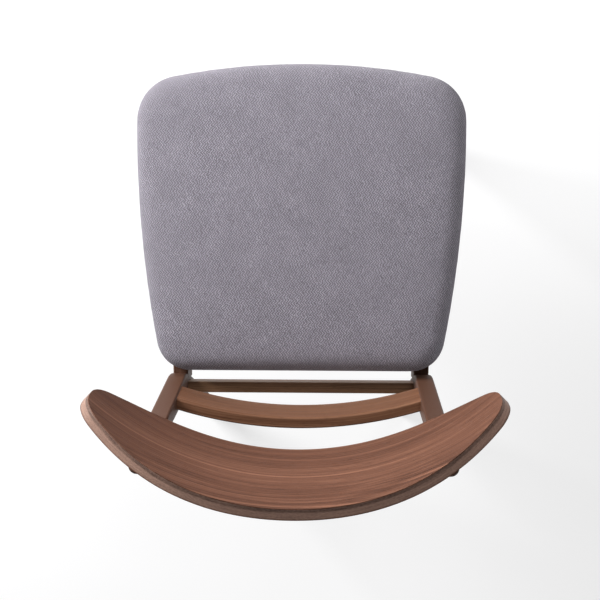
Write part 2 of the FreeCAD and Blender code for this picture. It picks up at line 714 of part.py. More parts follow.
def build():
    """Every node of the chair, by name."""
    crest = crest_rail()
    slat = back_slat()
    post = rear_leg()
    leg = front_leg()
    blank_post = post.copy()
    dowels = frame_dowels()
    bolts, washers, nuts = frame_bolts(), frame_washers(), barrel_nuts()
    crest_fixings = crest_screws()
    hanger, hanger_nut, hanger_washer = block_hardware()
    block_fixings = block_screws()
    bracket = seat_bracket()
    bracket_fixings = bracket_screws()
    seat_fixings = seat_screws()

    side = side_rail(leg, blank_post)
    block = corner_block(leg)
    front = front_rail(Part.makeCompound([leg, mirrored(leg)]))
    rear = rear_rail()

    foot_y = BEND_Y + (BEND_Z - GLIDE) * math.tan(SPLAY) + POST_DEPTH_FOOT / 2
    rear_glide = glide(POST_X, foot_y)
    front_glide = glide(FRONT_LEG_X + FRONT_LEG_OUT, FRONT_LEG_Y - FRONT_LEG_FORWARD)

    post = cut_all(post, [crest, slat, rear] + bolt_clearance())
    plugs = crest_plugs(post)
    post = cut_all(post, crest_bores() + crest_fixings + [rear_glide])
    crest = cut_all(crest, crest_fixings + [mirrored(s) for s in crest_fixings])
    leg = cut_all(leg, dowels + [hanger, front_glide])
    side = cut_all(side, dowels + bolts + nuts + block_fixings + bracket_fixings)
    in_front = dowels + block_fixings
    front = cut_all(front, in_front + [mirrored(s) for s in in_front])
    bracket = cut_all(bracket, bracket_fixings + seat_fixings)
    block = cut_all(block, [hanger] + block_fixings + block_bores() + seat_fixings)

    seat = seat_parts()
    held = seat_fixings + [mirrored(s) for s in seat_fixings]
    seat["seat_board"] = cut_all(seat["seat_board"], held)
    seat["dust_cloth"] = cut_all(seat["dust_cloth"], held)

    half = [leg, side, post, block, bracket]
    frame = Part.makeCompound([front, rear] + half + [mirrored(s) for s in half])
    nodes = {
        "crest_rail": crest,
        "back_slat": slat,
        "rear_rail": rear,
        "front_rail": front,
        "frame_dowels": both(dowels),
        "frame_bolts": both(bolts),
        "bolt_washers": both(washers),
        "barrel_nuts": both(nuts),
        "crest_screws": both(crest_fixings),
        "crest_plugs": both(plugs),
        "hanger_bolts": both([hanger]),
        "hanger_nuts": both([hanger_nut]),
        "hanger_washers": both([hanger_washer]),
        "block_screws": both(block_fixings),
        "bracket_screws": both(bracket_fixings),
        "seat_screws": both(seat_fixings),
        "cover_staples": Part.makeCompound(staples(BOARD_Z - DUST_CLOTH, frame)),
    }
    nodes.update(seat)
    for name, piece in (
        ("rear_leg", post),
        ("front_leg", leg),
        ("side_rail", side),
        ("corner_block", block),
        ("seat_bracket", bracket),
        ("front_glide", front_glide),
        ("rear_glide", rear_glide),
    ):
        nodes[name + "_left"] = piece
        nodes[name + "_right"] = mirrored(piece)
    return nodes


def centred(nodes):
    """The nodes moved so that the origin is the middle of the whole footprint."""
    box = Part.makeCompound(list(nodes.values())).optimalBoundingBox(False, False)
    shift = V(0, -(box.YMin + box.YMax) / 2, 0)
    return {name: shape.translated(shift) for name, shape in nodes.items()}


def main():
    """Writes one STEP file for each node."""
    os.makedirs("parts", exist_ok=True)
    for name, shape in centred(build()).items():
        shape.exportStep(os.path.join("parts", name + ".step"))
        volume = shape.Volume / 1000
        print(f"{name:20s} solids {len(shape.Solids):3d}  volume {volume:9.2f} cm3  valid {shape.isValid()}")


main()
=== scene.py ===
"""A side chair with a bent crest rail, a curved slat and an upholstered seat.

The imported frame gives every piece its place. Each sub-assembly below is a class that
models its pieces in metres, lays out their grain or weave, and dresses them.
"""

import json
import logging
import math
from dataclasses import dataclass, field
from enum import Enum
from typing import Callable, Sequence

import bpy
import numpy as np
from mathutils import Matrix, Vector, noise


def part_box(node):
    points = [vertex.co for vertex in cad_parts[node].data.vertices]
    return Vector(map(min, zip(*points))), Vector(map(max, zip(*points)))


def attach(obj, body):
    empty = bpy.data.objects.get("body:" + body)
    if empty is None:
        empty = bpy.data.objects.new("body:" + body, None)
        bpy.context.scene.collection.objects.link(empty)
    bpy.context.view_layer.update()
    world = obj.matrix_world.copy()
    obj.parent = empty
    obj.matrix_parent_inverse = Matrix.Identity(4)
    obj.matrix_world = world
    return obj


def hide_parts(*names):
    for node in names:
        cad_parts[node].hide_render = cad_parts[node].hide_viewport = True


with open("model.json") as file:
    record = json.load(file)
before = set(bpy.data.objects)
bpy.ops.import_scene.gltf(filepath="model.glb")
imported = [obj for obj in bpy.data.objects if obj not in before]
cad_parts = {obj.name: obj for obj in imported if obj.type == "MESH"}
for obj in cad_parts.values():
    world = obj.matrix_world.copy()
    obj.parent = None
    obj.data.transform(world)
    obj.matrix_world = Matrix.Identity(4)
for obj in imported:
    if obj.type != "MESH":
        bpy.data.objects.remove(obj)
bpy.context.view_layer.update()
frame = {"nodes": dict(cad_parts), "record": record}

LOG = logging.getLogger("chair")
BODY = "root"
Piece = bpy.types.Object
Material = bpy.types.Material
Socket = bpy.types.NodeSocket
Colour = tuple[float, float, float]
Cut = tuple[Vector, Vector]


class Part(Enum):
    """What a selection on a mesh is made of."""

    VERT = "VERT"
    EDGE = "EDGE"
    FACE = "FACE"


class Pattern(Enum):
    """Where a finish reads the position of its grain or weave."""

    OBJECT = "Object"
    GRAIN = "grain"
    WEAVE = "weave"


class Side(Enum):
    """The sitter's left or right, with the sign of X there."""

    LEFT = 1
    RIGHT = -1

    @property
    def word(self) -> str:
        """The side's name as the frame's nodes spell it."""
        return self.name.lower()


class Bench:
    """The workbench: the moves that shape one mesh at a time."""

    @staticmethod
    def clear() -> None:
        """Leaves edit mode and selects nothing."""
        if bpy.context.object is not None and bpy.context.object.mode != "OBJECT":
            bpy.ops.object.mode_set(mode="OBJECT")
        bpy.ops.object.select_all(action="DESELECT")

    @staticmethod
    def take(piece: Piece) -> None:
        """Makes one piece the only selected and active object."""
        Bench.clear()
        piece.select_set(True)
        bpy.context.view_layer.objects.active = piece

    @staticmethod
    def block(name: str, low: Sequence[float], high: Sequence[float]) -> Piece:
        """Adds a cuboid blank.

        Args:
            name: The new object's name.
            low: Its lowest corner.
            high: Its highest corner.

        Returns:
            The blank, with its place in its mesh.
        """
        Bench.clear()
        low, high = Vector(low), Vector(high)
        bpy.ops.mesh.primitive_cube_add(size=1.0, location=(low + high) / 2, scale=high - low)
        return Bench.settle(name)

    @staticmethod
    def disc(name: str, radius: float, depth: float, sides: int = 32) -> Piece:
        """Adds an upright cylinder blank that stands on the origin."""
        Bench.clear()
        bpy.ops.mesh.primitive_cylinder_add(
            vertices=sides, radius=radius, depth=depth, location=(0, 0, depth / 2)
        )
        return Bench.settle(name)

    @staticmethod
    def settle(name: str) -> Piece:
        """Names the active object and moves its place into its mesh."""
        piece = bpy.context.object
        piece.name = piece.data.name = name
        bpy.ops.object.transform_apply(location=True, rotation=True, scale=True)
        return piece

    @staticmethod
    def place(piece: Piece, matrix: Matrix) -> None:
        """Moves a piece and applies the move to its mesh."""
        Bench.take(piece)
        piece.matrix_world = matrix
        bpy.ops.object.transform_apply(location=True, rotation=True, scale=True)

    @staticmethod
    def pick(piece: Piece, part: Part, test: Callable[[list[Vector]], bool]) -> int:
        """Selects vertices, edges or faces by their place, and stays in edit mode.

        Args:
            piece: The object to select on.
            part: What to select.
            test: Takes the corners of a vertex, edge or face and says whether to select it.

        Returns:
            How many were selected.
        """
        Bench.take(piece)
        bpy.ops.object.mode_set(mode="EDIT")
        bpy.ops.mesh.select_mode(type=part.value)
        bpy.ops.mesh.select_all(action="DESELECT")
        bpy.ops.object.mode_set(mode="OBJECT")
        mesh = piece.data
        found = 0
        groups = {Part.VERT: mesh.vertices, Part.EDGE: mesh.edges, Part.FACE: mesh.polygons}
        for item in groups[part]:
            corners = [item.index] if part is Part.VERT else list(item.vertices)
            if test([mesh.vertices[i].co for i in corners]):
                item.select = True
                found += 1
                for i in corners:
                    mesh.vertices[i].select = True
        bpy.ops.object.mode_set(mode="EDIT")
        return found

    @staticmethod
    def saw(piece: Piece, cuts: Sequence[Cut], trim: bool = True) -> None:
        """Cuts a piece along planes.

        Args:
            piece: The object to cut.
            cuts: A point on each plane and its normal, which points at the waste.
            trim: Removes the waste and closes the cut. Otherwise the plane only divides faces.
        """
        Bench.take(piece)
        bpy.ops.object.mode_set(mode="EDIT")
        for point, normal in cuts:
            bpy.ops.mesh.select_all(action="SELECT")
            bpy.ops.mesh.bisect(
                plane_co=point,
                plane_no=normal,
                use_fill=trim,
                clear_outer=trim,
                threshold=0.00001,
            )
        bpy.ops.object.mode_set(mode="OBJECT")

    @staticmethod
    def round_over(width: float, segments: int, profile: float = 0.5) -> None:
        """Bevels the picked edges and leaves edit mode."""
        bpy.ops.mesh.bevel(
            offset_type="OFFSET",
            offset=width,
            segments=segments,
            profile=profile,
            affect="EDGES",
            clamp_overlap=True,
        )
        bpy.ops.object.mode_set(mode="OBJECT")

    @staticmethod
    def modify(piece: Piece, kind: str, **settings: object) -> None:
        """Adds a modifier with these settings and applies it."""
        Bench.take(piece)
        modifier = piece.modifiers.new(kind.title(), kind)
        for key, value in settings.items():
            setattr(modifier, key, value)
        bpy.ops.object.modifier_apply(modifier=modifier.name)

    @staticmethod
    def ease(piece: Piece, width: float, segments: int = 3, angle: float = 40.0) -> None:
        """Rounds every edge that is sharper than an angle in degrees."""
        Bench.modify(
            piece,
            "BEVEL",
            width=width,
            segments=segments,
            limit_method="ANGLE",
            angle_limit=math.radians(angle),
            harden_normals=False,
        )

    @staticmethod
    def polish(piece: Piece, angle: float = 40.0) -> None:
        """Shades a piece smooth across its rounded edges and flat on its faces."""
        Bench.take(piece)
        bpy.ops.object.shade_smooth_by_angle(angle=math.radians(angle))
        Bench.modify(piece, "WEIGHTED_NORMAL", keep_sharp=True, weight=50)

    @staticmethod
    def copy(piece: Piece, name: str, mirror: bool = False) -> Piece:
        """Copies a piece with its own mesh.

        Args:
            piece: The object to copy.
            name: The copy's name.
            mirror: Whether the copy is for the other side of the chair.

        Returns:
            The copy.
        """
        Bench.take(piece)
        bpy.ops.object.duplicate(linked=False)
        twin = bpy.context.object
        twin.name = twin.data.name = name
        if mirror:
            twin.scale = (-1, 1, 1)
            bpy.ops.object.transform_apply(location=False, rotation=False, scale=True)
            Bench.face_out(twin)
        return twin

    @staticmethod
    def face_out(piece: Piece) -> None:
        """Merges doubles and turns every face outwards."""
        Bench.pick(piece, Part.VERT, lambda corners: True)
        bpy.ops.mesh.remove_doubles(threshold=0.000001)
        bpy.ops.mesh.normals_make_consistent(inside=False)
        bpy.ops.object.mode_set(mode="OBJECT")

    @staticmethod
    def mark(piece: Piece, pattern: Pattern, turn: Matrix, offset: Vector) -> None:
        """Stores where each vertex lies in the timber or cloth that a piece is made of.

        Args:
            piece: The object to mark.
            pattern: The attribute to write.
            turn: Takes a position in the piece to one whose X runs along the grain.
            offset: Moves the piece to its own stretch of the timber.
        """
        mesh = piece.data
        flat = np.zeros(len(mesh.vertices) * 3, np.float32)
        mesh.vertices.foreach_get("co", flat)
        place = flat.reshape(-1, 3) @ np.array(turn.to_3x3()).T + np.array(offset)
        Bench.write(piece, pattern, place)

    @staticmethod
    def write(piece: Piece, pattern: Pattern, values: np.ndarray) -> None:
        """Writes one vector for each vertex as a named attribute."""
        layer = piece.data.attributes.new(pattern.value, "FLOAT_VECTOR", "POINT")
        layer.data.foreach_set("vector", values.astype(np.float32).ravel())


class Graph:
    """A material's nodes, with short ways to add them and join them up."""

    def __init__(self, name: str) -> None:
        """Starts a material that holds only a shader and an output."""
        self.material = bpy.data.materials.new(name)
        self.material.use_nodes = True
        self.tree = self.material.node_tree
        self.tree.nodes.clear()
        output = self.tree.nodes.new("ShaderNodeOutputMaterial")
        self.shader = self.tree.nodes.new("ShaderNodeBsdfPrincipled")
        self.tree.links.new(self.shader.outputs[0], output.inputs[0])

    def join(self, target: Socket, value: object) -> None:
        """Links a socket to an input, or sets the input's value."""
        if isinstance(value, Socket):
            self.tree.links.new(value, target)
        elif isinstance(value, tuple) and len(value) == 3 and target.type == "RGBA":
            target.default_value = (*value, 1.0)
        else:
            target.default_value = value

    def node(self, kind: str, inputs: dict | None = None, **settings: object) -> bpy.types.Node:
        """Adds a node, sets its properties and joins its inputs."""
        made = self.tree.nodes.new("ShaderNode" + kind)
        for key, value in settings.items():
            setattr(made, key, value)
        for key, value in (inputs or {}).items():
            self.join(made.inputs[key], value)
        return made

    def sum(self, kind: str, *values: object, clamp: bool = False) -> Socket:
        """A Math node's result."""
        inputs = dict(enumerate(values))
        return self.node("Math", inputs, operation=kind, use_clamp=clamp).outputs[0]

    def blend(self, share: object, low: object, high: object, kind: str = "MIX") -> Socket:
        """A mixed colour."""
        mix = self.node("Mix", data_type="RGBA", blend_type=kind)
        for index, value in ((0, share), (6, low), (7, high)):
            self.join(mix.inputs[index], value)
        return mix.outputs[2]

    def shaded(self, colour: object, shade: object) -> Socket:
        """A colour made darker or lighter by a factor."""
        grey = self.node("CombineColor", {0: shade, 1: shade, 2: shade}).outputs[0]
        return self.blend(1.0, colour, grey, "MULTIPLY")

    def span(
        self, value: object, low: float, high: float, to_low: float, to_high: float
    ) -> Socket:
        """A value mapped from one range to another, and kept inside it."""
        inputs = {0: value, 1: low, 2: high, 3: to_low, 4: to_high}
        return self.node("MapRange", inputs, clamp=True).outputs[0]

    def ramp(self, value: object, stops: Sequence[tuple[float, Colour]]) -> Socket:
        """A colour read from a ramp."""
        made = self.node("ValToRGB", {0: value})
        elements = made.color_ramp.elements
        while len(elements) < len(stops):
            elements.new(0.5)
        for element, (at, colour) in zip(elements, stops):
            element.position, element.color = at, (*colour, 1.0)
        return made.outputs[0]

    def place(self, pattern: Pattern) -> Socket:
        """The position that a pattern is read at, in metres."""
        if pattern is Pattern.OBJECT:
            return self.node("TexCoord").outputs["Object"]
        return self.node("Attribute", attribute_name=pattern.value).outputs["Vector"]

    def stretch(
        self, place: object, scale: Sequence[float], turn: Sequence[float] = (0, 0, 0)
    ) -> Socket:
        """A position turned by angles in degrees, then scaled."""
        angles = [math.radians(a) for a in turn]
        turned = self.node("Mapping", {0: place, "Rotation": angles}).outputs[0]
        return self.node("Mapping", {0: turned, "Scale": list(scale)}).outputs[0]

    def cloud(self, place: object, detail: float = 3.0, rough: float = 0.5) -> Socket:
        """Fractal noise from 0 to 1, read at a position in its own units."""
        inputs = {"Vector": place, "Scale": 1.0, "Detail": detail, "Roughness": rough}
        return self.node("TexNoise", inputs).outputs[0]

    def emboss(self, height: object, depth: float) -> None:
        """Gives the shader a bumped normal from a height between 0 and 1."""
        bump = self.node("Bump", {"Height": height, "Distance": depth, "Strength": 1.0})
        self.join(self.shader.inputs["Normal"], bump.outputs[0])

    def set(self, **values: object) -> None:
        """Sets or links the shader's inputs, with underscores for spaces."""
        for key, value in values.items():
            self.join(self.shader.inputs[key.replace("_", " ")], value)


@dataclass(frozen=True)
class Timber:
    """A solid timber, stained and lacquered, whose grain runs along X of its pattern."""

    name: str
    dark: Colour
    middle: Colour
    light: Colour
    pattern: Pattern = Pattern.GRAIN
    turn: tuple[float, float, float] = (0.0, 0.0, 0.0)
    band: float = 0.016
    line: float = 0.0030
    gloss: float = 0.52
    shine: float = 0.18
    pore: float = 0.35
    inlay: float = 0.0
    wander: float = 0.020
    shares: tuple[float, float, float] = (0.28, 0.40, 0.32)
    stops: tuple[float, float, float] = (0.36, 0.50, 0.64)

    def figure(self, graph: Graph) -> tuple[Socket, Socket, Socket]:
        """Builds the grain.

        Args:
            graph: The material's nodes.

        Returns:
            The colour, the fine streaks and the pores, the last two from 0 to 1.
        """
        place = graph.stretch(graph.place(self.pattern), (1, 1, 1), self.turn)
        wander = graph.cloud(graph.stretch(place, (2.4, 6.0, 6.0)), 2.0)
        shift = graph.sum("MULTIPLY", graph.sum("SUBTRACT", wander, 0.5), self.wander)
        sideways = graph.node("CombineXYZ", {1: shift, 2: shift}).outputs[0]
        place = graph.node("VectorMath", {0: place, 1: sideways}).outputs[0]
        broad = graph.cloud(graph.stretch(place, (0.8, 1 / self.band, 1 / self.band)), 3.0, 0.6)
        lines = graph.cloud(graph.stretch(place, (1.1, 1 / self.line, 1 / self.line)), 4.0, 0.62)
        hair = graph.cloud(graph.stretch(place, (3.5, 540.0, 540.0)), 2.0, 0.6)
        mixed = graph.sum("MULTIPLY", broad, self.shares[0])
        mixed = graph.sum("MULTIPLY_ADD", lines, self.shares[1], mixed)
        mixed = graph.sum("MULTIPLY_ADD", hair, self.shares[2], mixed)
        colour = graph.ramp(mixed, list(zip(self.stops, (self.dark, self.middle, self.light))))
        if self.inlay > 0:
            vein = graph.cloud(graph.stretch(place, (0.7, 95.0, 95.0)), 2.0, 0.5)
            vein = graph.span(vein, 0.655, 0.70, 0.0, self.inlay)
            glow = tuple(min(1.0, c * 1.35) for c in self.light)
            colour = graph.blend(vein, colour, glow)
        pores = graph.cloud(graph.stretch(place, (70.0, 1900.0, 1900.0)), 1.0)
        pores = graph.span(pores, 0.58, 0.72, 0.0, 1.0)
        shade = graph.sum("SUBTRACT", 1.0, graph.sum("MULTIPLY", pores, self.pore))
        return graph.shaded(colour, shade), lines, pores

    def finish(self, graph: Graph, colour: object, fine: object, pores: object) -> Material:
        """Joins the colour and the lacquer's sheen to the shader."""
        graph.set(
            Base_Color=colour,
            Roughness=graph.span(fine, 0.3, 0.7, self.gloss - 0.06, self.gloss + 0.08),
            Specular_IOR_Level=self.shine,
        )
        graph.emboss(graph.sum("MULTIPLY_ADD", pores, -0.7, fine), 0.00010)
        return graph.material

    def make(self) -> Material:
        """The finished material."""
        graph = Graph(self.name)
        return self.finish(graph, *self.figure(graph))


@dataclass(frozen=True)
class BentPanel(Timber):
    """Veneer over a moulded core, which shows round the edge: darker next to the front face and at
    the back, lighter between.
    """

    thickness: float = 0.0145
    veneer: float = 0.0009
    layers: tuple[tuple[float, float], ...] = (
        (0.0, 0.22), (0.30, 0.25), (0.42, 0.62), (0.80, 0.66), (1.0, 0.30)
    )
    core_dark: Colour = (0.085, 0.050, 0.039)
    core_light: Colour = (0.38, 0.235, 0.180)

    def make(self) -> Material:
        """The finished material."""
        graph = Graph(self.name)
        colour, fine, pores = self.figure(graph)
        place = graph.place(self.pattern)
        depth = graph.sum("SUBTRACT", graph.node("SeparateXYZ", {0: place}).outputs[1], 1.0)
        soft = 0.0001
        back = self.thickness - self.veneer
        edge = graph.sum(
            "MULTIPLY",
            graph.span(depth, self.veneer - soft, self.veneer + soft, 0.0, 1.0),
            graph.span(depth, back - soft, back + soft, 1.0, 0.0),
        )
        ripple = graph.cloud(graph.stretch(place, (16.0, 50.0, 50.0)), 2.0)
        waved = graph.sum("MULTIPLY_ADD", graph.sum("SUBTRACT", ripple, 0.5), 0.0022, depth)
        share = graph.sum("DIVIDE", waved, self.thickness)
        speck = graph.cloud(graph.stretch(place, (260.0, 900.0, 900.0)), 3.0, 0.6)
        smear = graph.cloud(graph.stretch(place, (22.0, 800.0, 60.0)), 3.0, 0.6)
        # The edge is darker next to the front face and at the back, lighter between.
        layers = graph.ramp(share, [(at, (grey,) * 3) for at, grey in self.layers])
        mixed = graph.sum("MULTIPLY_ADD", speck, 0.55, graph.sum("MULTIPLY", smear, 0.45))
        mixed = graph.sum("MULTIPLY_ADD", graph.sum("SUBTRACT", mixed, 0.5), 1.6, layers)
        core = graph.ramp(mixed, [(0.05, self.core_dark), (0.95, self.core_light)])
        return self.finish(graph, graph.blend(edge, colour, core), fine, pores)


@dataclass(frozen=True)
class WovenCloth:
    """A fine zigzag twill of uneven melange yarn, with a pale warp and a darker weft."""

    name: str
    warp: Colour
    weft: Colour
    pitch: float = 0.00098
    depth: float = 0.0005
    uneven: float = 0.34
    slip: float = 6.0
    reversal: float = 4.0

    def yarn(
        self, graph: Graph, place: object, colour: Colour, scale: tuple[float, float, float]
    ) -> Socket:
        """One yarn's colour, which drifts along its length and from yarn to yarn."""
        fleck = graph.cloud(graph.stretch(place, scale), 3.0, 0.7)
        shade = graph.span(fleck, 0.30, 0.70, 1.0 - self.uneven, 1.0 + self.uneven)
        return graph.shaded(colour, shade)

    def make(self) -> Material:
        """The finished material."""
        graph = Graph(self.name)
        place = graph.place(Pattern.WEAVE)
        drift = graph.cloud(graph.stretch(place, (60.0, 60.0, 60.0)), 3.0)
        drift = graph.sum("MULTIPLY", graph.sum("SUBTRACT", drift, 0.5), 1.6)
        cells = graph.stretch(place, (1 / self.pitch, 1 / self.pitch, 1 / self.pitch))
        axes = graph.node("SeparateXYZ", {0: cells})
        across = graph.sum("ADD", axes.outputs[0], drift)
        along = graph.sum("SUBTRACT", axes.outputs[1], drift)
        column, row = graph.sum("FLOOR", across), graph.sum("FLOOR", along)
        slip = graph.cloud(graph.stretch(place, (70.0, 70.0, 70.0)), 2.0)
        slip = graph.sum("FLOOR", graph.sum("MULTIPLY", slip, self.slip))
        turned = graph.sum("PINGPONG", graph.sum("ADD", row, slip), self.reversal)
        zigzag = graph.sum("ADD", column, turned)
        zigzag = graph.sum("ADD", zigzag, slip)
        over = graph.sum("LESS_THAN", graph.sum("FLOORED_MODULO", zigzag, 4.0), 2.0)
        warp_round = graph.sum("SINE", graph.sum("MULTIPLY", graph.sum("FRACT", across), math.pi))
        weft_round = graph.sum("SINE", graph.sum("MULTIPLY", graph.sum("FRACT", along), math.pi))
        rounds = {0: over, 2: weft_round, 3: warp_round}
        height = graph.node("Mix", rounds, data_type="FLOAT").outputs[0]
        pale = self.yarn(graph, place, self.warp, (1 / self.pitch, 90.0, 200.0))
        deep = self.yarn(graph, place, self.weft, (90.0, 1 / self.pitch, 200.0))
        crossing = graph.node("CombineXYZ", {0: column, 1: row}).outputs[0]
        knot = graph.node("TexWhiteNoise", {"Vector": crossing}, noise_dimensions="3D")
        knot = graph.span(knot.outputs["Value"], 0.0, 1.0, 0.76, 1.24)
        # Painted shade: the colour darkens where the yarns dip, in the hollows between them; the
        # knot and haze terms are random tone.
        shade = graph.sum("MULTIPLY", graph.span(height, 0.0, 1.0, 0.60, 1.10), knot)
        haze = graph.cloud(graph.stretch(place, (22.0, 22.0, 22.0)), 3.0)
        shade = graph.sum("MULTIPLY", shade, graph.span(haze, 0.3, 0.7, 0.93, 1.07))
        graph.set(
            Base_Color=graph.shaded(graph.blend(over, deep, pale), shade),
            Roughness=0.92,
            Specular_IOR_Level=0.15,
            Sheen_Weight=0.30,
            Sheen_Roughness=0.5,
            Sheen_Tint=(0.92, 0.9, 0.95, 1.0),
        )
        fuzz = graph.cloud(graph.stretch(place, (3000.0, 3000.0, 3000.0)), 1.0)
        graph.emboss(graph.sum("MULTIPLY_ADD", fuzz, 0.25, height), self.depth)
        return graph.material


@dataclass(frozen=True)
class DustCloth:
    """The thin black non-woven cloth under a seat, dimpled by its bonding rollers."""

    name: str
    colour: Colour = (0.012, 0.012, 0.013)
    dimple: float = 0.0022

    def make(self) -> Material:
        """The finished material."""
        graph = Graph(self.name)
        place = graph.place(Pattern.OBJECT)
        fibre = graph.cloud(graph.stretch(place, (700.0, 240.0, 400.0)), 4.0, 0.7)
        inputs = {"Vector": place, "Scale": 1 / self.dimple, "Randomness": 0.15}
        spots = graph.node("TexVoronoi", inputs)
        dent = graph.span(spots.outputs[0], 0.15, 0.45, 0.0, 1.0)
        shade = graph.span(fibre, 0.25, 0.75, 0.6, 2.2)
        graph.set(Base_Color=graph.shaded(self.colour, shade), Roughness=0.85, Sheen_Weight=0.1)
        graph.emboss(graph.sum("MULTIPLY_ADD", fibre, 0.4, dent), 0.0003)
        return graph.material


@dataclass(frozen=True)
class Plating:
    """Bright zinc on steel, slightly clouded and brushed."""

    name: str
    colour: Colour = (0.60, 0.61, 0.63)

    def make(self) -> Material:
        """The finished material."""
        graph = Graph(self.name)
        place = graph.place(Pattern.OBJECT)
        bloom = graph.cloud(graph.stretch(place, (140.0, 140.0, 140.0)), 4.0, 0.6)
        lines = graph.cloud(graph.stretch(place, (900.0, 900.0, 3000.0)), 2.0)
        dull = tuple(c * 0.72 for c in self.colour)
        graph.set(
            Base_Color=graph.ramp(bloom, [(0.35, dull), (0.65, self.colour)]),
            Metallic=1.0,
            Roughness=graph.span(bloom, 0.3, 0.7, 0.26, 0.42),
        )
        graph.emboss(lines, 0.00003)
        return graph.material


@dataclass(frozen=True)
class Nylon:
    """Moulded nylon with a fine spark texture, scuffed where it slides."""

    name: str
    colour: Colour = (0.045, 0.032, 0.026)

    def make(self) -> Material:
        """The finished material."""
        graph = Graph(self.name)
        place = graph.place(Pattern.OBJECT)
        grit = graph.cloud(graph.stretch(place, (1800.0, 1800.0, 1800.0)), 3.0)
        scuff = graph.cloud(graph.stretch(place, (160.0, 900.0, 160.0)), 3.0)
        pale = tuple(min(1.0, c * 2.6) for c in self.colour)
        graph.set(
            Base_Color=graph.ramp(scuff, [(0.52, self.colour), (0.75, pale)]),
            Roughness=graph.span(scuff, 0.3, 0.7, 0.42, 0.62),
        )
        graph.emboss(grit, 0.00006)
        return graph.material


@dataclass(frozen=True)
class PaleFloor:
    """A plain matt studio floor."""

    name: str
    colour: Colour = (0.34, 0.34, 0.345)
    glow: float = 0.69

    def make(self) -> Material:
        """The finished material."""
        graph = Graph(self.name)
        graph.set(
            Base_Color=self.colour,
            Roughness=0.9,
            Specular_IOR_Level=0.1,
            Emission_Color=(1.0, 1.0, 1.0),
            Emission_Strength=self.glow,
        )
        return graph.material


def dress(piece: Piece, material: Material) -> None:
    """Gives a piece one material all over."""
    piece.data.materials.clear()
    piece.data.materials.append(material)


def hand_over(piece: Piece, slot: str, *nodes: str) -> None:
    """Puts a finished piece on the chair's body, in place of its frame nodes."""
    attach(piece, BODY)
    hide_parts(*nodes)
    LOG.info("%s: %d faces, for %s", piece.name, len(piece.data.polygons), ", ".join(nodes))


@dataclass
class Wardrobe:
    """Every finish on the chair, made once."""

    walnut: Material = field(init=False)
    crest: Material = field(init=False)
    slat: Material = field(init=False)
    rail: Material = field(init=False)
    beech: Material = field(init=False)
    ply: Material = field(init=False)
    cloth: Material = field(init=False)
    lining: Material = field(init=False)
    zinc: Material = field(init=False)
    nylon: Material = field(init=False)

    def __post_init__(self) -> None:
        """Makes the materials."""
        self.walnut = Timber(
            "stained_walnut", (0.050, 0.0215, 0.0125), (0.088, 0.040, 0.024), (0.130, 0.062, 0.038)
        ).make()
        self.crest = BentPanel(
            "walnut_veneer",
            (0.066, 0.027, 0.0155),
            (0.135, 0.057, 0.034),
            (0.215, 0.098, 0.060),
            inlay=0.6,
        ).make()
        self.slat = Timber(
            "stained_walnut_slat",
            (0.095, 0.040, 0.020),
            (0.165, 0.073, 0.039),
            (0.235, 0.112, 0.062),
        ).make()
        # Painted light: the rails get the legs' walnut stain painted lighter, to make up for the
        # shade under the seat pad.
        self.rail = Timber(
            "stained_walnut_rail",
            (0.155, 0.082, 0.044),
            (0.260, 0.140, 0.076),
            (0.360, 0.200, 0.110),
        ).make()
        self.beech = Timber(
            "raw_beech", (0.36, 0.22, 0.13), (0.48, 0.32, 0.20), (0.58, 0.42, 0.28),
            Pattern.OBJECT, gloss=0.6, pore=0.25,
        ).make()
        self.ply = Timber(
            "raw_plywood", (0.34, 0.23, 0.14), (0.46, 0.33, 0.21), (0.56, 0.43, 0.29),
            Pattern.OBJECT, gloss=0.65, pore=0.2,
        ).make()
        self.cloth = WovenCloth("grey_melange", (0.392, 0.370, 0.424), (0.168, 0.150, 0.180)).make()
        self.lining = DustCloth("black_lining").make()
        self.zinc = Plating("bright_zinc").make()
        self.nylon = Nylon("brown_nylon").make()


def quarter(axis: str, sign: int = 1) -> Matrix:
    """A turn of 90 degrees about an axis."""
    return Matrix.Rotation(math.radians(90 * sign), 4, axis)


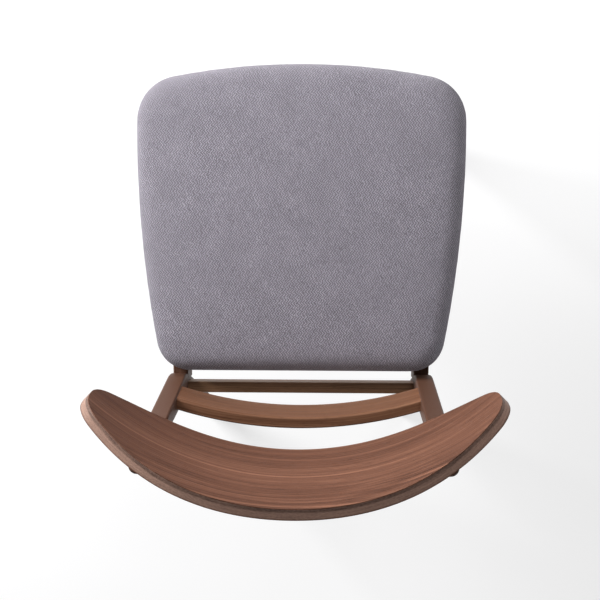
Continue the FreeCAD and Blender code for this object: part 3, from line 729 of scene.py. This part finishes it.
@dataclass
class CrestRail:
    """The bent panel across the top of the back."""

    radius: float = 0.350
    thickness: float = 0.0145
    height: float = 0.172
    face_width: float = 0.492
    lean: float = math.radians(14.0)
    foot_y: float = 0.2395
    foot_z: float = 0.625
    top_fall: float = 0.035
    top_power: float = 3.4
    low_rise: float = 0.013
    low_power: float = 6.1
    fall_at: float = 0.200
    tip: float = 0.044
    strip: float = 0.006

    def top(self, across: float) -> float:
        """Height of the top edge at a distance from the middle of the flat panel."""
        x = self.radius * math.sin(abs(across) / self.radius)
        return self.height - self.top_fall * (x / self.fall_at) ** self.top_power

    def low(self, across: float) -> float:
        """Height of the bottom edge at a distance from the middle of the flat panel."""
        x = self.radius * math.sin(abs(across) / self.radius)
        return self.low_rise * (x / self.fall_at) ** self.low_power

    @property
    def half(self) -> float:
        """Half the flat panel's width."""
        return self.radius * math.asin(self.face_width / 2 / self.radius)

    def edge_cuts(self, edge: Callable[[float], float], sign: int) -> list[Cut]:
        """Planes that trim one long edge and the two tips' corners on it.

        Args:
            edge: Height of the edge at a distance from the middle.
            sign: 1 for the top edge, -1 for the bottom edge.

        Returns:
            The cuts, from the middle outwards, on both sides.
        """

        def normal(u: float) -> Vector:
            """The edge's outward direction at a distance from the middle."""
            slope = (edge(u + 0.0005) - edge(u - 0.0005)) / 0.001
            return Vector((-slope * sign, 0, sign)).normalized()

        near, far = 0.02, self.half
        for _ in range(40):
            u = (near + far) / 2
            centre = u - normal(u).x * self.tip
            near, far = (u, far) if centre < self.half - self.tip else (near, u)
        touch = (near + far) / 2
        centre = Vector((touch, 0, edge(touch))) - normal(touch) * self.tip
        first = math.atan2(normal(touch).z * sign, normal(touch).x)
        cuts = []
        steps = 30
        for k in range(steps + 1):
            u = touch * (k / steps) ** 0.8
            cuts.append((Vector((u, 0, edge(u))), normal(u)))
        turns = 14
        for k in range(1, turns + (sign > 0)):
            angle = first * (1 - k / turns)
            out = Vector((math.cos(angle), 0, math.sin(angle) * sign))
            cuts.append((centre + out * self.tip, out))
        flip = Matrix.Diagonal((-1, 1, 1))
        return cuts + [(flip @ point, flip @ out) for point, out in cuts[1:]]

    def frame(self) -> Matrix:
        """Takes the panel's own upright frame to its place in the chair."""
        foot = Matrix.Translation((0, self.foot_y, self.foot_z))
        return foot @ Matrix.Rotation(-self.lean, 4, "X")

    def front_space(self) -> Piece:
        """A drum that fills the hollow in front of the panel, to clear the posts out of it."""
        drum = Bench.disc("crest_front_space", self.radius + 0.001, self.height, 256)
        Bench.place(drum, self.frame() @ Matrix.Translation((0, -self.radius, self.low_rise)))
        return drum

    def build(self) -> Piece:
        """Saws the flat panel to its outline, then bends it and leans it back."""
        margin = 0.004
        panel = Bench.block(
            "crest_rail_bent",
            (-self.half - margin, 0, -margin),
            (self.half + margin, self.thickness, self.height + margin),
        )
        Bench.saw(panel, self.edge_cuts(self.top, 1) + self.edge_cuts(self.low, -1))

        def on_rim(ends: list[Vector]) -> bool:
            """Whether an edge runs round the panel's front or back face."""
            return any(all(abs(p.y - y) < 1e-5 for p in ends) for y in (0.0, self.thickness))

        Bench.pick(panel, Part.EDGE, on_rim)
        Bench.round_over(0.0018, 3)
        strips = int(2 * self.half / self.strip)
        stations = [(-self.half + (k + 0.5) * self.strip) for k in range(strips)]
        Bench.saw(panel, [(Vector((u, 0, 0)), Vector((1, 0, 0))) for u in stations], trim=False)
        Bench.mark(panel, Pattern.GRAIN, Matrix.Identity(4), Vector((0.3, 1.0, 0.1)))
        width = max(v.co.x for v in panel.data.vertices) - min(v.co.x for v in panel.data.vertices)
        Bench.modify(
            panel,
            "SIMPLE_DEFORM",
            deform_method="BEND",
            deform_axis="Z",
            angle=-width / self.radius,
        )
        Bench.place(panel, self.frame())
        Bench.polish(panel)
        return panel


@dataclass
class BackSlat:
    """The narrow curved slat between the posts."""

    radius: float = 0.550
    thickness: float = 0.016
    height: float = 0.057
    reach: float = 0.1675
    lean: float = math.radians(12.2)
    foot_z: float = 0.481
    setback: float = 0.004
    strip: float = 0.006

    def build(self, foot_y: float) -> Piece:
        """Rounds a straight bar, bends it and leans it back.

        Args:
            foot_y: Y of the bar's back at its bottom, in the middle of its length.

        Returns:
            The finished slat.
        """
        inner = self.radius - self.thickness
        half = inner * math.asin(self.reach / inner)
        bar = Bench.block("back_slat_bent", (-half, 0, 0), (half, self.thickness, self.height))
        Bench.pick(bar, Part.EDGE, lambda ends: abs(ends[0].x - ends[1].x) > half)
        Bench.round_over(0.003, 4)
        stations = [(-half + (k + 0.5) * self.strip) for k in range(int(2 * half / self.strip))]
        Bench.saw(bar, [(Vector((u, 0, 0)), Vector((1, 0, 0))) for u in stations], trim=False)
        Bench.mark(bar, Pattern.GRAIN, Matrix.Identity(4), Vector((1.7, 1.4, 0.52)))
        Bench.modify(
            bar, "SIMPLE_DEFORM", deform_method="BEND", deform_axis="Z", angle=-2 * half / inner
        )
        place = Matrix.Translation((0, foot_y, self.foot_z)) @ Matrix.Rotation(-self.lean, 4, "X")
        Bench.place(bar, place @ Matrix.Translation((0, -self.thickness, 0)))
        Bench.polish(bar)
        return bar


@dataclass
class RearLeg:
    """A rear leg that bends at the seat and runs up as the post of the back."""

    inside: float = 0.166
    width: float = 0.026
    bend_y: float = 0.1565
    bend_z: float = 0.430
    lean: float = math.radians(12.2)
    splay: float = math.radians(11.9)
    foot: float = 0.004
    top: float = 0.771
    depth_foot: float = 0.025
    depth_bend: float = 0.038
    depth_top: float = 0.0185
    sweep: float = 0.030
    bolt_heights: tuple[float, float] = (0.384, 0.416)
    counterbore: float = 0.007
    washer: float = 0.0065
    back_arris: float = 0.0102
    crown: float = 0.0075

    def swept(self, z: float, bend: float, below: float, above: float) -> float:
        """Y of a face that turns from one slope to another in a smooth sweep.

        Args:
            z: The height.
            bend: Y where the two slopes would meet.
            below: Slope under the bend, as Y for each unit of Z.
            above: Slope over the bend.

        Returns:
            Y of the face there.
        """
        rise = z - self.bend_z
        if rise < -self.sweep:
            return bend + below * rise
        if rise > self.sweep:
            return bend + above * rise
        return bend + below * rise + (above - below) * (rise + self.sweep) ** 2 / (4 * self.sweep)

    def front(self, z: float) -> float:
        """Y of the front face at a height."""
        return self.swept(z, self.bend_y, -math.tan(self.splay), math.tan(self.lean))

    def back(self, z: float) -> float:
        """Y of the back face at a height."""
        below = (self.depth_bend - self.depth_foot) / (self.bend_z - self.foot)
        above = (self.depth_top - self.depth_bend) / (self.top - self.bend_z)
        bend = self.bend_y + self.depth_bend
        return self.swept(z, bend, below - math.tan(self.splay), above + math.tan(self.lean))

    def stations(self) -> list[float]:
        """Heights at which the leg is drawn: few on the straights and many in the bend."""
        turns = [self.bend_z + self.sweep * (k / 5 - 1) for k in range(11)]
        ends = [self.foot + (turns[0] - self.foot) * k / 4 for k in range(4)]
        posts = [turns[-1] + (self.top - turns[-1]) * k / 4 for k in range(1, 5)]
        return ends + turns + posts

    def build(
        self, shift: float, bolt_x: float, housed: Sequence[Piece]
    ) -> Piece:
        """Draws the sitter's left leg upwards from its foot, rounds it and notches it.

        Args:
            shift: How far the frame's Y lies from this class's own.
            bolt_x: X of the two bolts that enter from behind.
            housed: The shapes that the post is cut away for.

        Returns:
            The finished leg.
        """
        levels = self.stations()
        low, high = levels[0], levels[1]
        outside = self.inside + self.width
        leg = Bench.block("rear_leg_left_shaped", (self.inside, 0, low), (outside, 1.0, high))
        for last, z in zip(levels[1:], levels[2:]):
            Bench.pick(leg, Part.FACE, lambda ring: all(abs(p.z - last) < 1e-6 for p in ring))
            bpy.ops.mesh.extrude_region_move(TRANSFORM_OT_translate={"value": (0, 0, z - last)})
            bpy.ops.object.mode_set(mode="OBJECT")
        for z in levels:
            for edge, y in ((0.0, self.front(z)), (1.0, self.back(z))):
                Bench.pick(
                    leg,
                    Part.VERT,
                    lambda point: abs(point[0].z - z) < 1e-6 and abs(point[0].y - edge) < 1e-6,
                )
                bpy.ops.transform.translate(value=(0, y + 2 - edge, 0))
                bpy.ops.object.mode_set(mode="OBJECT")
        Bench.place(leg, Matrix.Translation((0, shift - 2, 0)))
        back = [(self.back(z) + shift, z) for z in levels]
        Bench.pick(leg, Part.EDGE, lambda ends: self.upright(ends) and self.on(ends, back))
        Bench.round_over(self.back_arris, 6)
        Bench.pick(leg, Part.EDGE, lambda ends: all(abs(p.z - self.top) < 1e-6 for p in ends))
        Bench.round_over(self.crown, 6)
        Bench.ease(leg, 0.0034, 4, 35.0)
        self.bore(leg, bolt_x, shift)
        for shape in housed:
            Bench.modify(leg, "BOOLEAN", operation="DIFFERENCE", object=shape, solver="EXACT")
        Bench.mark(leg, Pattern.GRAIN, quarter("Y"), Vector((0.4, 2.2, 0.9)))
        return leg

    def upright(self, ends: list[Vector]) -> bool:
        """Whether an edge runs up the leg, along one of its sides."""
        middle = self.inside + self.width / 2
        edge_on = all(abs(abs(p.x - middle) - self.width / 2) < 1e-5 for p in ends)
        return edge_on and abs(ends[0].z - ends[1].z) > 1e-3

    def on(self, ends: list[Vector], face: list[tuple[float, float]]) -> bool:
        """Whether both ends of an edge lie on a drawn face."""
        depths, heights = zip(*face)
        return all(abs(p.y - float(np.interp(p.z, heights, depths))) < 1e-4 for p in ends)

    def bore(self, leg: Piece, bolt_x: float, shift: float) -> None:
        """Sinks the two counterbores for the bolts into the back of the leg."""
        for z in self.bolt_heights:
            cutter = Bench.disc("counterbore", self.counterbore, 0.06, 40)
            seat = self.bend_y + shift + self.depth_bend - 0.006
            Bench.place(cutter, Matrix.Translation((bolt_x, seat, z)) @ quarter("X", -1))
            Bench.modify(leg, "BOOLEAN", operation="DIFFERENCE", object=cutter, solver="EXACT")
            bpy.data.objects.remove(cutter)


@dataclass
class FrontLeg:
    """A front leg that tapers to its foot and splays out and forward."""

    top_x: float = 0.188
    top_y: float = -0.232
    top_z: float = 0.4248
    foot_z: float = 0.004
    top_size: float = 0.040
    foot_size: float = 0.024
    outward: float = 0.012
    forward: float = 0.012
    corner: float = 0.0075

    def build(self, shift: float) -> Piece:
        """Tapers a square blank, leans it and rounds its corners."""
        half = self.top_size / 2
        leg = Bench.block(
            "front_leg_left_shaped", (-half, -half, self.foot_z), (half, half, self.top_z)
        )
        Bench.pick(leg, Part.FACE, lambda ring: all(p.z < self.foot_z + 1e-5 for p in ring))
        share = self.foot_size / self.top_size
        bpy.ops.transform.resize(value=(share, share, 1), center_override=(0, 0, self.foot_z))
        bpy.ops.transform.translate(value=(self.outward, -self.forward, 0))
        Bench.pick(leg, Part.EDGE, lambda ends: abs(ends[0].z - ends[1].z) > 0.1)
        Bench.round_over(self.corner, 6)
        Bench.ease(leg, 0.0015, 3, 60.0)
        Bench.place(leg, Matrix.Translation((self.top_x, self.top_y + shift, 0)))
        Bench.mark(leg, Pattern.GRAIN, quarter("Y"), Vector((3.1, 0.7, 2.9)))
        return leg


@dataclass
class SeatFrame:
    """The rails under the seat and behind it."""

    arris: float = 0.003
    bury: float = 0.002
    side_front: float = -0.214
    side_rear: float = 0.166
    side_thick: float = 0.022
    side_low: float = 0.375
    side_high: float = 0.4249
    inner_front: float = 0.178
    inner_rear: float = 0.166
    front_leg_y: float = -0.232
    rear_leg_y: float = 0.1565

    def rail(self, node: str, along: Vector, offset: Vector) -> Piece:
        """Makes a straight rail as large as its frame node.

        Args:
            node: The frame node that gives the rail's box.
            along: The axis that the grain runs along.
            offset: Where in the timber the rail was cut from.

        Returns:
            The finished rail.
        """
        low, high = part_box(node)
        piece = Bench.block(node + "_planed", low, high)
        Bench.ease(piece, self.arris, 4)
        turn = Vector(along).rotation_difference(Vector((1, 0, 0))).to_matrix().to_4x4()
        Bench.mark(piece, Pattern.GRAIN, turn, offset)
        Bench.polish(piece)
        return piece

    def side_rail(self, shift: float) -> Piece:
        """Makes the sitter's left side rail, which closes in a little towards the back."""
        front, rear = self.side_front - self.bury, self.side_rear + self.bury
        piece = Bench.block(
            "side_rail_left_planed",
            (0, front, self.side_low),
            (self.side_thick, rear, self.side_high),
        )
        slope = (self.inner_rear - self.inner_front) / (self.rear_leg_y - self.front_leg_y)
        for end in (front, rear):
            Bench.pick(piece, Part.FACE, lambda ring: all(abs(p.y - end) < 1e-5 for p in ring))
            inner = self.inner_front + slope * (end - self.front_leg_y)
            bpy.ops.transform.translate(value=(inner, 0, 0))
            bpy.ops.object.mode_set(mode="OBJECT")
        Bench.ease(piece, self.arris, 4)
        Bench.place(piece, Matrix.Translation((0, shift, 0)))
        Bench.mark(piece, Pattern.GRAIN, quarter("Z", -1), Vector((5.2, 1.9, 0.3)))
        return piece


@dataclass
class Outline:
    """The seat's plan: a bowed front, bowed sides, a straight rear and round corners."""

    width: float = 0.478
    rear_width: float = 0.403
    front: float = -0.292
    depth: float = 0.448
    front_bow: float = 0.030
    side_bow: float = 0.0135
    front_corner: float = 0.068
    rear_corner: float = 0.052

    @staticmethod
    def arc(a: Vector, b: Vector, c: Vector) -> tuple[Vector, float]:
        """The centre and radius of the circle through three points."""
        d = 2 * (a.x * (b.y - c.y) + b.x * (c.y - a.y) + c.x * (a.y - b.y))
        sa, sb, sc = a.length_squared, b.length_squared, c.length_squared
        x = (sa * (b.y - c.y) + sb * (c.y - a.y) + sc * (a.y - b.y)) / d
        y = (sa * (c.x - b.x) + sb * (a.x - c.x) + sc * (b.x - a.x)) / d
        centre = Vector((x, y))
        return centre, (a - centre).length

    @staticmethod
    def crossing(a: Vector, reach_a: float, b: Vector, reach_b: float) -> Vector:
        """The crossing with the larger X of two circles."""
        gap = (b - a).length
        share = (reach_a**2 - reach_b**2 + gap**2) / (2 * gap)
        rise = math.sqrt(max(0.0, reach_a**2 - share**2))
        axis = (b - a) / gap
        foot = a + axis * share
        side = Vector((-axis.y, axis.x)) * rise
        return max(foot + side, foot - side, key=lambda p: p.x)

    def cuts(self, inset: float, shift: float) -> list[Cut]:
        """Upright planes round the plan.

        Args:
            inset: How far inside the plan the planes lie.
            shift: How far the frame's Y lies from this class's own.

        Returns:
            The planes, all the way round.
        """
        corner_y = self.front + self.front_bow
        rear = self.front + self.depth
        middle = Vector(((self.width + self.rear_width) / 4 + self.side_bow, (corner_y + rear) / 2))
        corner = Vector((self.width / 2, corner_y))
        nose, nose_r = self.arc(Vector((-corner.x, corner.y)), Vector((0, self.front)), corner)
        flank, flank_r = self.arc(corner, middle, Vector((self.rear_width / 2, rear)))
        fore = self.crossing(nose, nose_r - self.front_corner, flank, flank_r - self.front_corner)
        aft_reach = flank_r - self.rear_corner
        aft_y = rear - self.rear_corner
        aft = Vector((flank.x + math.sqrt(aft_reach**2 - (aft_y - flank.y) ** 2), aft_y))
        spokes = (fore - nose, fore - flank, aft - flank)
        turns = [-math.pi / 2, *(math.atan2(v.y, v.x) for v in spokes), math.pi / 2]
        hubs = [
            (nose, nose_r, 10),
            (fore, self.front_corner, 12),
            (flank, flank_r, 14),
            (aft, self.rear_corner, 12),
        ]
        half = []
        for (centre, reach, steps), start, end in zip(hubs, turns[:-1], turns[1:]):
            for k in range(steps):
                angle = start + (end - start) * (k + 0.5) / steps
                out = Vector((math.cos(angle), math.sin(angle)))
                point = centre + out * (reach - inset)
                half.append((Vector((point.x, point.y + shift, 0)), Vector((out.x, out.y, 0))))
        flip = Matrix.Diagonal((-1, 1, 1))
        half += [(flip @ point, flip @ out) for point, out in half]
        half.append((Vector((0, rear - inset + shift, 0)), Vector((0, 1, 0))))
        return half


@dataclass
class SeatPad:
    """The upholstered pad: foam and cloth as one crowned cushion."""

    outline: Outline = field(default_factory=Outline)
    base: float = 0.4252
    top: float = 0.4800
    inset: float = 0.0035
    shoulder: float = 0.024
    hem: float = 0.008
    crown: float = 0.0035
    voxel: float = 0.005
    pressure: float = 9.0
    swell: float = 0.0035
    frames: int = 20
    evening: int = 60
    stiffness: float = 12.0
    bending: float = 1.5

    def build(self, shift: float) -> Piece:
        """Cuts the pad, crowns it, lets its cover pull tight and lays out the weave."""
        low = (-0.26, self.outline.front - 0.02 + shift, self.base)
        high = (0.26, self.outline.front + self.outline.depth + 0.02 + shift, self.top)
        pad = Bench.block("seat_pad_upholstered", low, high)
        Bench.saw(pad, self.outline.cuts(self.inset, shift))
        Bench.pick(pad, Part.EDGE, lambda ends: all(abs(p.z - self.top) < 1e-5 for p in ends))
        Bench.round_over(self.shoulder, 8, 0.52)
        Bench.pick(pad, Part.EDGE, lambda ends: all(abs(p.z - self.base) < 1e-5 for p in ends))
        Bench.round_over(self.hem, 4)
        Bench.modify(pad, "REMESH", mode="VOXEL", voxel_size=self.voxel, adaptivity=0.0)
        Bench.modify(pad, "SMOOTH", factor=0.5, iterations=4)
        self.raise_crown(pad, shift)
        self.pull_tight(pad)
        Bench.modify(pad, "SUBSURF", levels=1, render_levels=1)
        Bench.take(pad)
        bpy.ops.object.shade_smooth()
        self.lay_weave(pad, shift)
        return pad

    def raise_crown(self, pad: Piece, shift: float) -> None:
        """Lifts the middle of the top and gives the foam its slight unevenness."""
        middle = self.outline.front + self.outline.depth / 2 + shift
        for v in pad.data.vertices:
            height = max(0.0, (v.co.z - self.base) / (self.top - self.base))
            across = 1 - (v.co.x / (self.outline.width / 2)) ** 2
            along = 1 - ((v.co.y - middle) / (self.outline.depth / 2)) ** 2
            lift = self.crown * max(0.0, across) ** 0.7 * max(0.0, along) ** 0.7
            ripple = noise.noise(v.co * 14.0) * 0.0006 + noise.noise(v.co * 37.0) * 0.00025
            v.co.z += height**3 * (lift + ripple)

    def pull_tight(self, pad: Piece) -> None:
        """Fills the cover with a little pressure and keeps each point near where it was."""
        start = [(v.co.copy(), v.normal.copy()) for v in pad.data.vertices]
        Bench.take(pad)
        pins = pad.vertex_groups.new(name="board")
        pins.add([v.index for v in pad.data.vertices if v.co.z < self.base + 0.004], 1.0, "REPLACE")
        cloth = pad.modifiers.new("Cloth", "CLOTH")
        cloth.settings.vertex_group_mass = pins.name
        cloth.settings.use_pressure = True
        cloth.settings.uniform_pressure_force = self.pressure
        cloth.settings.quality = 5
        cloth.settings.tension_stiffness = self.stiffness
        cloth.settings.compression_stiffness = self.stiffness
        cloth.settings.bending_stiffness = self.bending
        cloth.settings.effector_weights.gravity = 0
        cloth.point_cache.frame_start, cloth.point_cache.frame_end = 1, self.frames
        scene = bpy.context.scene
        for step in range(1, self.frames + 1):
            scene.frame_set(step)
        bpy.ops.object.modifier_apply(modifier=cloth.name)
        scene.frame_set(1)
        rises = [(v.co - was).dot(out) for v, (was, out) in zip(pad.data.vertices, start)]
        rises = self.even_out(pad, np.clip(rises, 0.0, self.swell))
        for v, (was, out), rise in zip(pad.data.vertices, start, rises):
            v.co = was + out * float(rise)
            v.co.z = max(v.co.z, self.base)
        Bench.modify(pad, "SMOOTH", factor=0.5, iterations=4)

    def even_out(self, pad: Piece, rises: np.ndarray) -> np.ndarray:
        """Averages each vertex's rise with its neighbours', over and over.

        Args:
            pad: The pad that the vertices belong to.
            rises: How far each vertex moves out.

        Returns:
            The rises with no creases between them.
        """
        ends = np.zeros(len(pad.data.edges) * 2, np.int64)
        pad.data.edges.foreach_get("vertices", ends)
        one, other = ends.reshape(-1, 2).T
        count = len(rises)
        joined = np.bincount(ends, minlength=count)
        for _ in range(self.evening):
            total = np.bincount(one, rises[other], count) + np.bincount(other, rises[one], count)
            rises = 0.5 * rises + 0.5 * total / joined
        return rises

    def lay_weave(self, pad: Piece, shift: float) -> None:
        """Stores where each point lies on the cloth, run flat from the top down the sides."""
        cuts = self.outline.cuts(0.0, shift)
        out = np.array([(n.x, n.y) for _, n in cuts])
        reach = np.array([p.x * n.x + p.y * n.y for p, n in cuts])
        mesh = pad.data
        count = len(mesh.vertices)
        spot, face = np.zeros(count * 3, np.float32), np.zeros(count * 3, np.float32)
        mesh.vertices.foreach_get("co", spot)
        mesh.vertices.foreach_get("normal", face)
        spot, face = spot.reshape(-1, 3), face.reshape(-1, 3)
        inside = reach[None, :] - spot[:, :2] @ out.T
        nearest = inside.min(axis=1)
        weight = np.exp(-(inside - nearest[:, None]) / 0.0025)
        lead = weight @ out
        lead /= np.linalg.norm(lead, axis=1)[:, None]
        rim = self.shoulder + self.inset
        beyond = np.clip(rim - nearest, 0, None)
        peak = float(spot[:, 2].max())
        drop = np.clip(peak - 0.004 - spot[:, 2], 0, None)
        run = np.where(beyond > 0, np.hypot(beyond, drop), 0.0)
        flat = spot[:, :2] + lead * (run - beyond)[:, None]
        under = face[:, 2] < -0.6
        flat[under] = spot[under, :2] + 0.013
        values = np.column_stack([flat, np.zeros(count)])
        Bench.write(pad, Pattern.WEAVE, values)


@dataclass
class Lining:
    """The dust cloth stretched under the seat."""

    inset: float = 0.034
    level: float = 0.4250
    thickness: float = 0.0006
    hem: float = 0.012
    margin: float = 0.02

    def build(self, outline: Outline, shift: float) -> tuple[Piece, float, float]:
        """Cuts the cloth to the seat's plan and folds its hem.

        Args:
            outline: The seat's plan.
            shift: How far the frame's Y lies from the plan's own.

        Returns:
            The cloth, with its width and its depth.
        """
        low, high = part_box("dust_cloth")
        spare = self.margin
        cloth = Bench.block(
            "dust_cloth_stretched",
            (low.x - spare, low.y - spare, self.level - self.thickness),
            (high.x + spare, high.y + spare, self.level),
        )
        Bench.saw(cloth, outline.cuts(self.inset, shift))
        width = max(v.co.x for v in cloth.data.vertices) * 2
        depth = max(v.co.y for v in cloth.data.vertices) - min(v.co.y for v in cloth.data.vertices)
        middle = self.level - self.thickness / 2
        Bench.pick(cloth, Part.FACE, lambda ring: all(p.z < middle for p in ring))
        bpy.ops.mesh.inset(thickness=self.hem, depth=0.0)
        bpy.ops.transform.translate(value=(0, 0, self.thickness * 0.5))
        bpy.ops.object.mode_set(mode="OBJECT")
        return cloth, width, depth


@dataclass
class Glide:
    """A nylon glide under one foot."""

    radius: float = 0.009
    height: float = 0.004
    round_edge: float = 0.0014
    ring: float = 0.0035
    dish: float = 0.0006

    def build(self) -> Piece:
        """Turns a round pad with a dished sole, standing on the origin."""
        pad = Bench.disc("glide_blank", self.radius, self.height, 40)
        Bench.pick(pad, Part.EDGE, lambda ends: all(p.z < 1e-5 for p in ends))
        Bench.round_over(self.round_edge, 4)
        Bench.pick(pad, Part.FACE, lambda ring: len(ring) > 20 and all(p.z < 1e-5 for p in ring))
        bpy.ops.mesh.inset(thickness=self.ring, depth=-self.dish)
        bpy.ops.object.mode_set(mode="OBJECT")
        Bench.ease(pad, 0.0004, 2, 50.0)
        return pad


@dataclass
class Chair:
    """The whole chair, dressed piece by piece."""

    finishes: Wardrobe = field(default_factory=Wardrobe)
    crest: CrestRail = field(default_factory=CrestRail)
    slat: BackSlat = field(default_factory=BackSlat)
    rear_leg: RearLeg = field(default_factory=RearLeg)
    front_leg: FrontLeg = field(default_factory=FrontLeg)
    seat_frame: SeatFrame = field(default_factory=SeatFrame)
    pad: SeatPad = field(default_factory=SeatPad)
    lining: Lining = field(default_factory=Lining)
    glide: Glide = field(default_factory=Glide)
    shift: float = field(init=False)
    panel: Piece = field(init=False)

    def __post_init__(self) -> None:
        """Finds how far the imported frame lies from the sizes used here."""
        self.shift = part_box("seat_cover")[0].y - self.pad.outline.front

    def build(self) -> None:
        """Makes and dresses every piece."""
        self.build_back()
        self.build_legs()
        self.build_rails()
        self.build_seat()
        self.build_glides()
        self.dress_hardware()

    def build_back(self) -> None:
        """Makes the crest rail and the slat."""
        self.crest.foot_y += self.shift
        panel = self.crest.build()
        self.panel = panel
        dress(panel, self.finishes.crest)
        hand_over(panel, "walnut_veneer", "crest_rail")
        post = self.rear_leg
        sagitta = self.slat.radius - math.sqrt(self.slat.radius**2 - post.inside**2)
        slat_front = post.front(self.slat.foot_z) + self.slat.setback
        bar = self.slat.build(slat_front + sagitta + self.slat.thickness + self.shift)
        dress(bar, self.finishes.slat)
        hand_over(bar, "stained_wood", "back_slat")

    def pair(self, piece: Piece, slot: str, material: Material, node: str) -> None:
        """Finishes a left-hand piece and makes its twin for the right."""
        twin = Bench.copy(piece, piece.name.replace("left", "right"), mirror=True)
        for side, made in ((Side.LEFT, piece), (Side.RIGHT, twin)):
            Bench.polish(made)
            dress(made, material)
            hand_over(made, slot, f"{node}_{side.word}")

    def build_legs(self) -> None:
        """Makes the four legs."""
        bolt_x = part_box("bolt_washers")[1].x - self.rear_leg.washer
        drum = self.crest.front_space()
        leg = self.rear_leg.build(self.shift, bolt_x, (self.panel, drum))
        bpy.data.objects.remove(drum)
        walnut = self.finishes.walnut
        self.pair(leg, "stained_wood", walnut, "rear_leg")
        self.pair(self.front_leg.build(self.shift), "stained_wood", walnut, "front_leg")

    def build_rails(self) -> None:
        """Makes the rails of the seat frame."""
        across = Vector((1, 0, 0))
        for node, offset in (("rear_rail", (0.9, 4.0, 1.1)), ("front_rail", (2.3, 6.0, 0.2))):
            rail = self.seat_frame.rail(node, across, Vector(offset))
            dress(rail, self.finishes.rail)
            hand_over(rail, "stained_wood", node)
        side = self.seat_frame.side_rail(self.shift)
        self.pair(side, "stained_wood", self.finishes.walnut, "side_rail")

    def build_seat(self) -> None:
        """Makes the pad and its dust cloth."""
        pad = self.pad.build(self.shift)
        dress(pad, self.finishes.cloth)
        hand_over(pad, "grey_cloth", "seat_cover", "seat_foam")
        cloth, width, depth = self.lining.build(self.pad.outline, self.shift)
        dress(cloth, self.finishes.lining)
        hand_over(cloth, "black_cloth", "dust_cloth")

    def build_glides(self) -> None:
        """Makes one glide and sets a copy under each foot."""
        blank = self.glide.build()
        for place in ("front", "rear"):
            for side in Side:
                node = f"{place}_glide_{side.word}"
                low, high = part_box(node)
                disc = Bench.copy(blank, node + "_moulded")
                middle = ((low.x + high.x) / 2, (low.y + high.y) / 2, 0)
                Bench.place(disc, Matrix.Translation(middle))
                Bench.polish(disc)
                dress(disc, self.finishes.nylon)
                hand_over(disc, "nylon", node)
        bpy.data.objects.remove(blank)

    def dress_hardware(self) -> None:
        """Gives the frame's own small parts their finishes."""
        finishes = {
            "beech": self.finishes.beech,
            "plywood": self.finishes.ply,
            "plug_wood": self.finishes.beech,
            "zinc_steel": self.finishes.zinc,
        }
        slots = {row["node"]: row["material_slot"] for row in frame["record"]["subparts"]}
        for name, piece in frame["nodes"].items():
            if piece.hide_render or slots[name] not in finishes:
                continue
            for slot in piece.material_slots:
                slot.material = finishes[slots[name]]
            LOG.info("%s: kept, in %s", name, slots[name])


@dataclass(frozen=True)
class Lamp:
    """A square soft light and the point that it faces."""

    name: str
    where: tuple[float, float, float]
    at: tuple[float, float, float]
    size: float
    power: float

    def hang(self) -> None:
        """Hangs the light."""
        data = bpy.data.lights.new(self.name, "AREA")
        data.size, data.energy = self.size, self.power
        lamp = bpy.data.objects.new(self.name, data)
        bpy.context.scene.collection.objects.link(lamp)
        lamp.location = self.where
        facing = Vector(self.at) - Vector(self.where)
        lamp.rotation_euler = facing.to_track_quat("-Z", "Y").to_euler()


@dataclass
class Studio:
    """The floor, the lights and the camera."""

    lamps: tuple[Lamp, ...] = (
        Lamp("key", (1.50, -0.98, 1.22), (0.0, -0.05, 0.50), 0.8, 67.0),
        Lamp("overhead", (-0.42, -0.95, 1.85), (-0.22, -0.45, 0.2), 0.9, 13.0),
    )
    air: float = 0.15
    floor_size: float = 120.0

    lens: float = 64.5
    eye: Vector = field(default_factory=lambda: Vector((-0.0375, 0.0205, 2.004)))
    gaze: Vector = field(default_factory=lambda: Vector((0.0246, 0.0184, -1.0)))
    roll: float = 0.0045

    def build(self) -> None:
        """Sets up everything round the chair."""
        bpy.context.scene.view_settings.view_transform = "Standard"
        self.lay_floor()
        for lamp in self.lamps:
            lamp.hang()
        world = bpy.data.worlds.new("studio_air")
        world.use_nodes = True
        background = world.node_tree.nodes["Background"]
        background.inputs[0].default_value = (1.0, 1.0, 1.0, 1.0)
        background.inputs[1].default_value = self.air
        bpy.context.scene.world = world
        self.set_camera()

    def lay_floor(self) -> None:
        """Lays a wide pale floor."""
        Bench.clear()
        bpy.ops.mesh.primitive_plane_add(size=self.floor_size, location=(0, 0, 0))
        floor = Bench.settle("studio_floor")
        dress(floor, PaleFloor("pale_floor").make())

    def set_camera(self) -> None:
        """Sets the camera above the seat, with the chair's front at the top."""
        data = bpy.data.cameras.new("overhead")
        data.lens, data.sensor_width = self.lens, 36.0
        camera = bpy.data.objects.new("overhead", data)
        bpy.context.scene.collection.objects.link(camera)
        ahead = self.gaze.normalized()
        right = ahead.cross(Vector((math.sin(self.roll), -math.cos(self.roll), 0))).normalized()
        up = right.cross(ahead)
        turn = Matrix((right, up, -ahead)).transposed().to_4x4()
        camera.matrix_world = Matrix.Translation(self.eye) @ turn
        bpy.context.scene.camera = camera


def main() -> None:
    """Builds the studio and the chair."""
    logging.basicConfig(level=logging.INFO, format="%(name)s: %(message)s")
    Studio().build()
    Chair().build()
    Bench.clear()


if __name__ == "__main__":
    main()
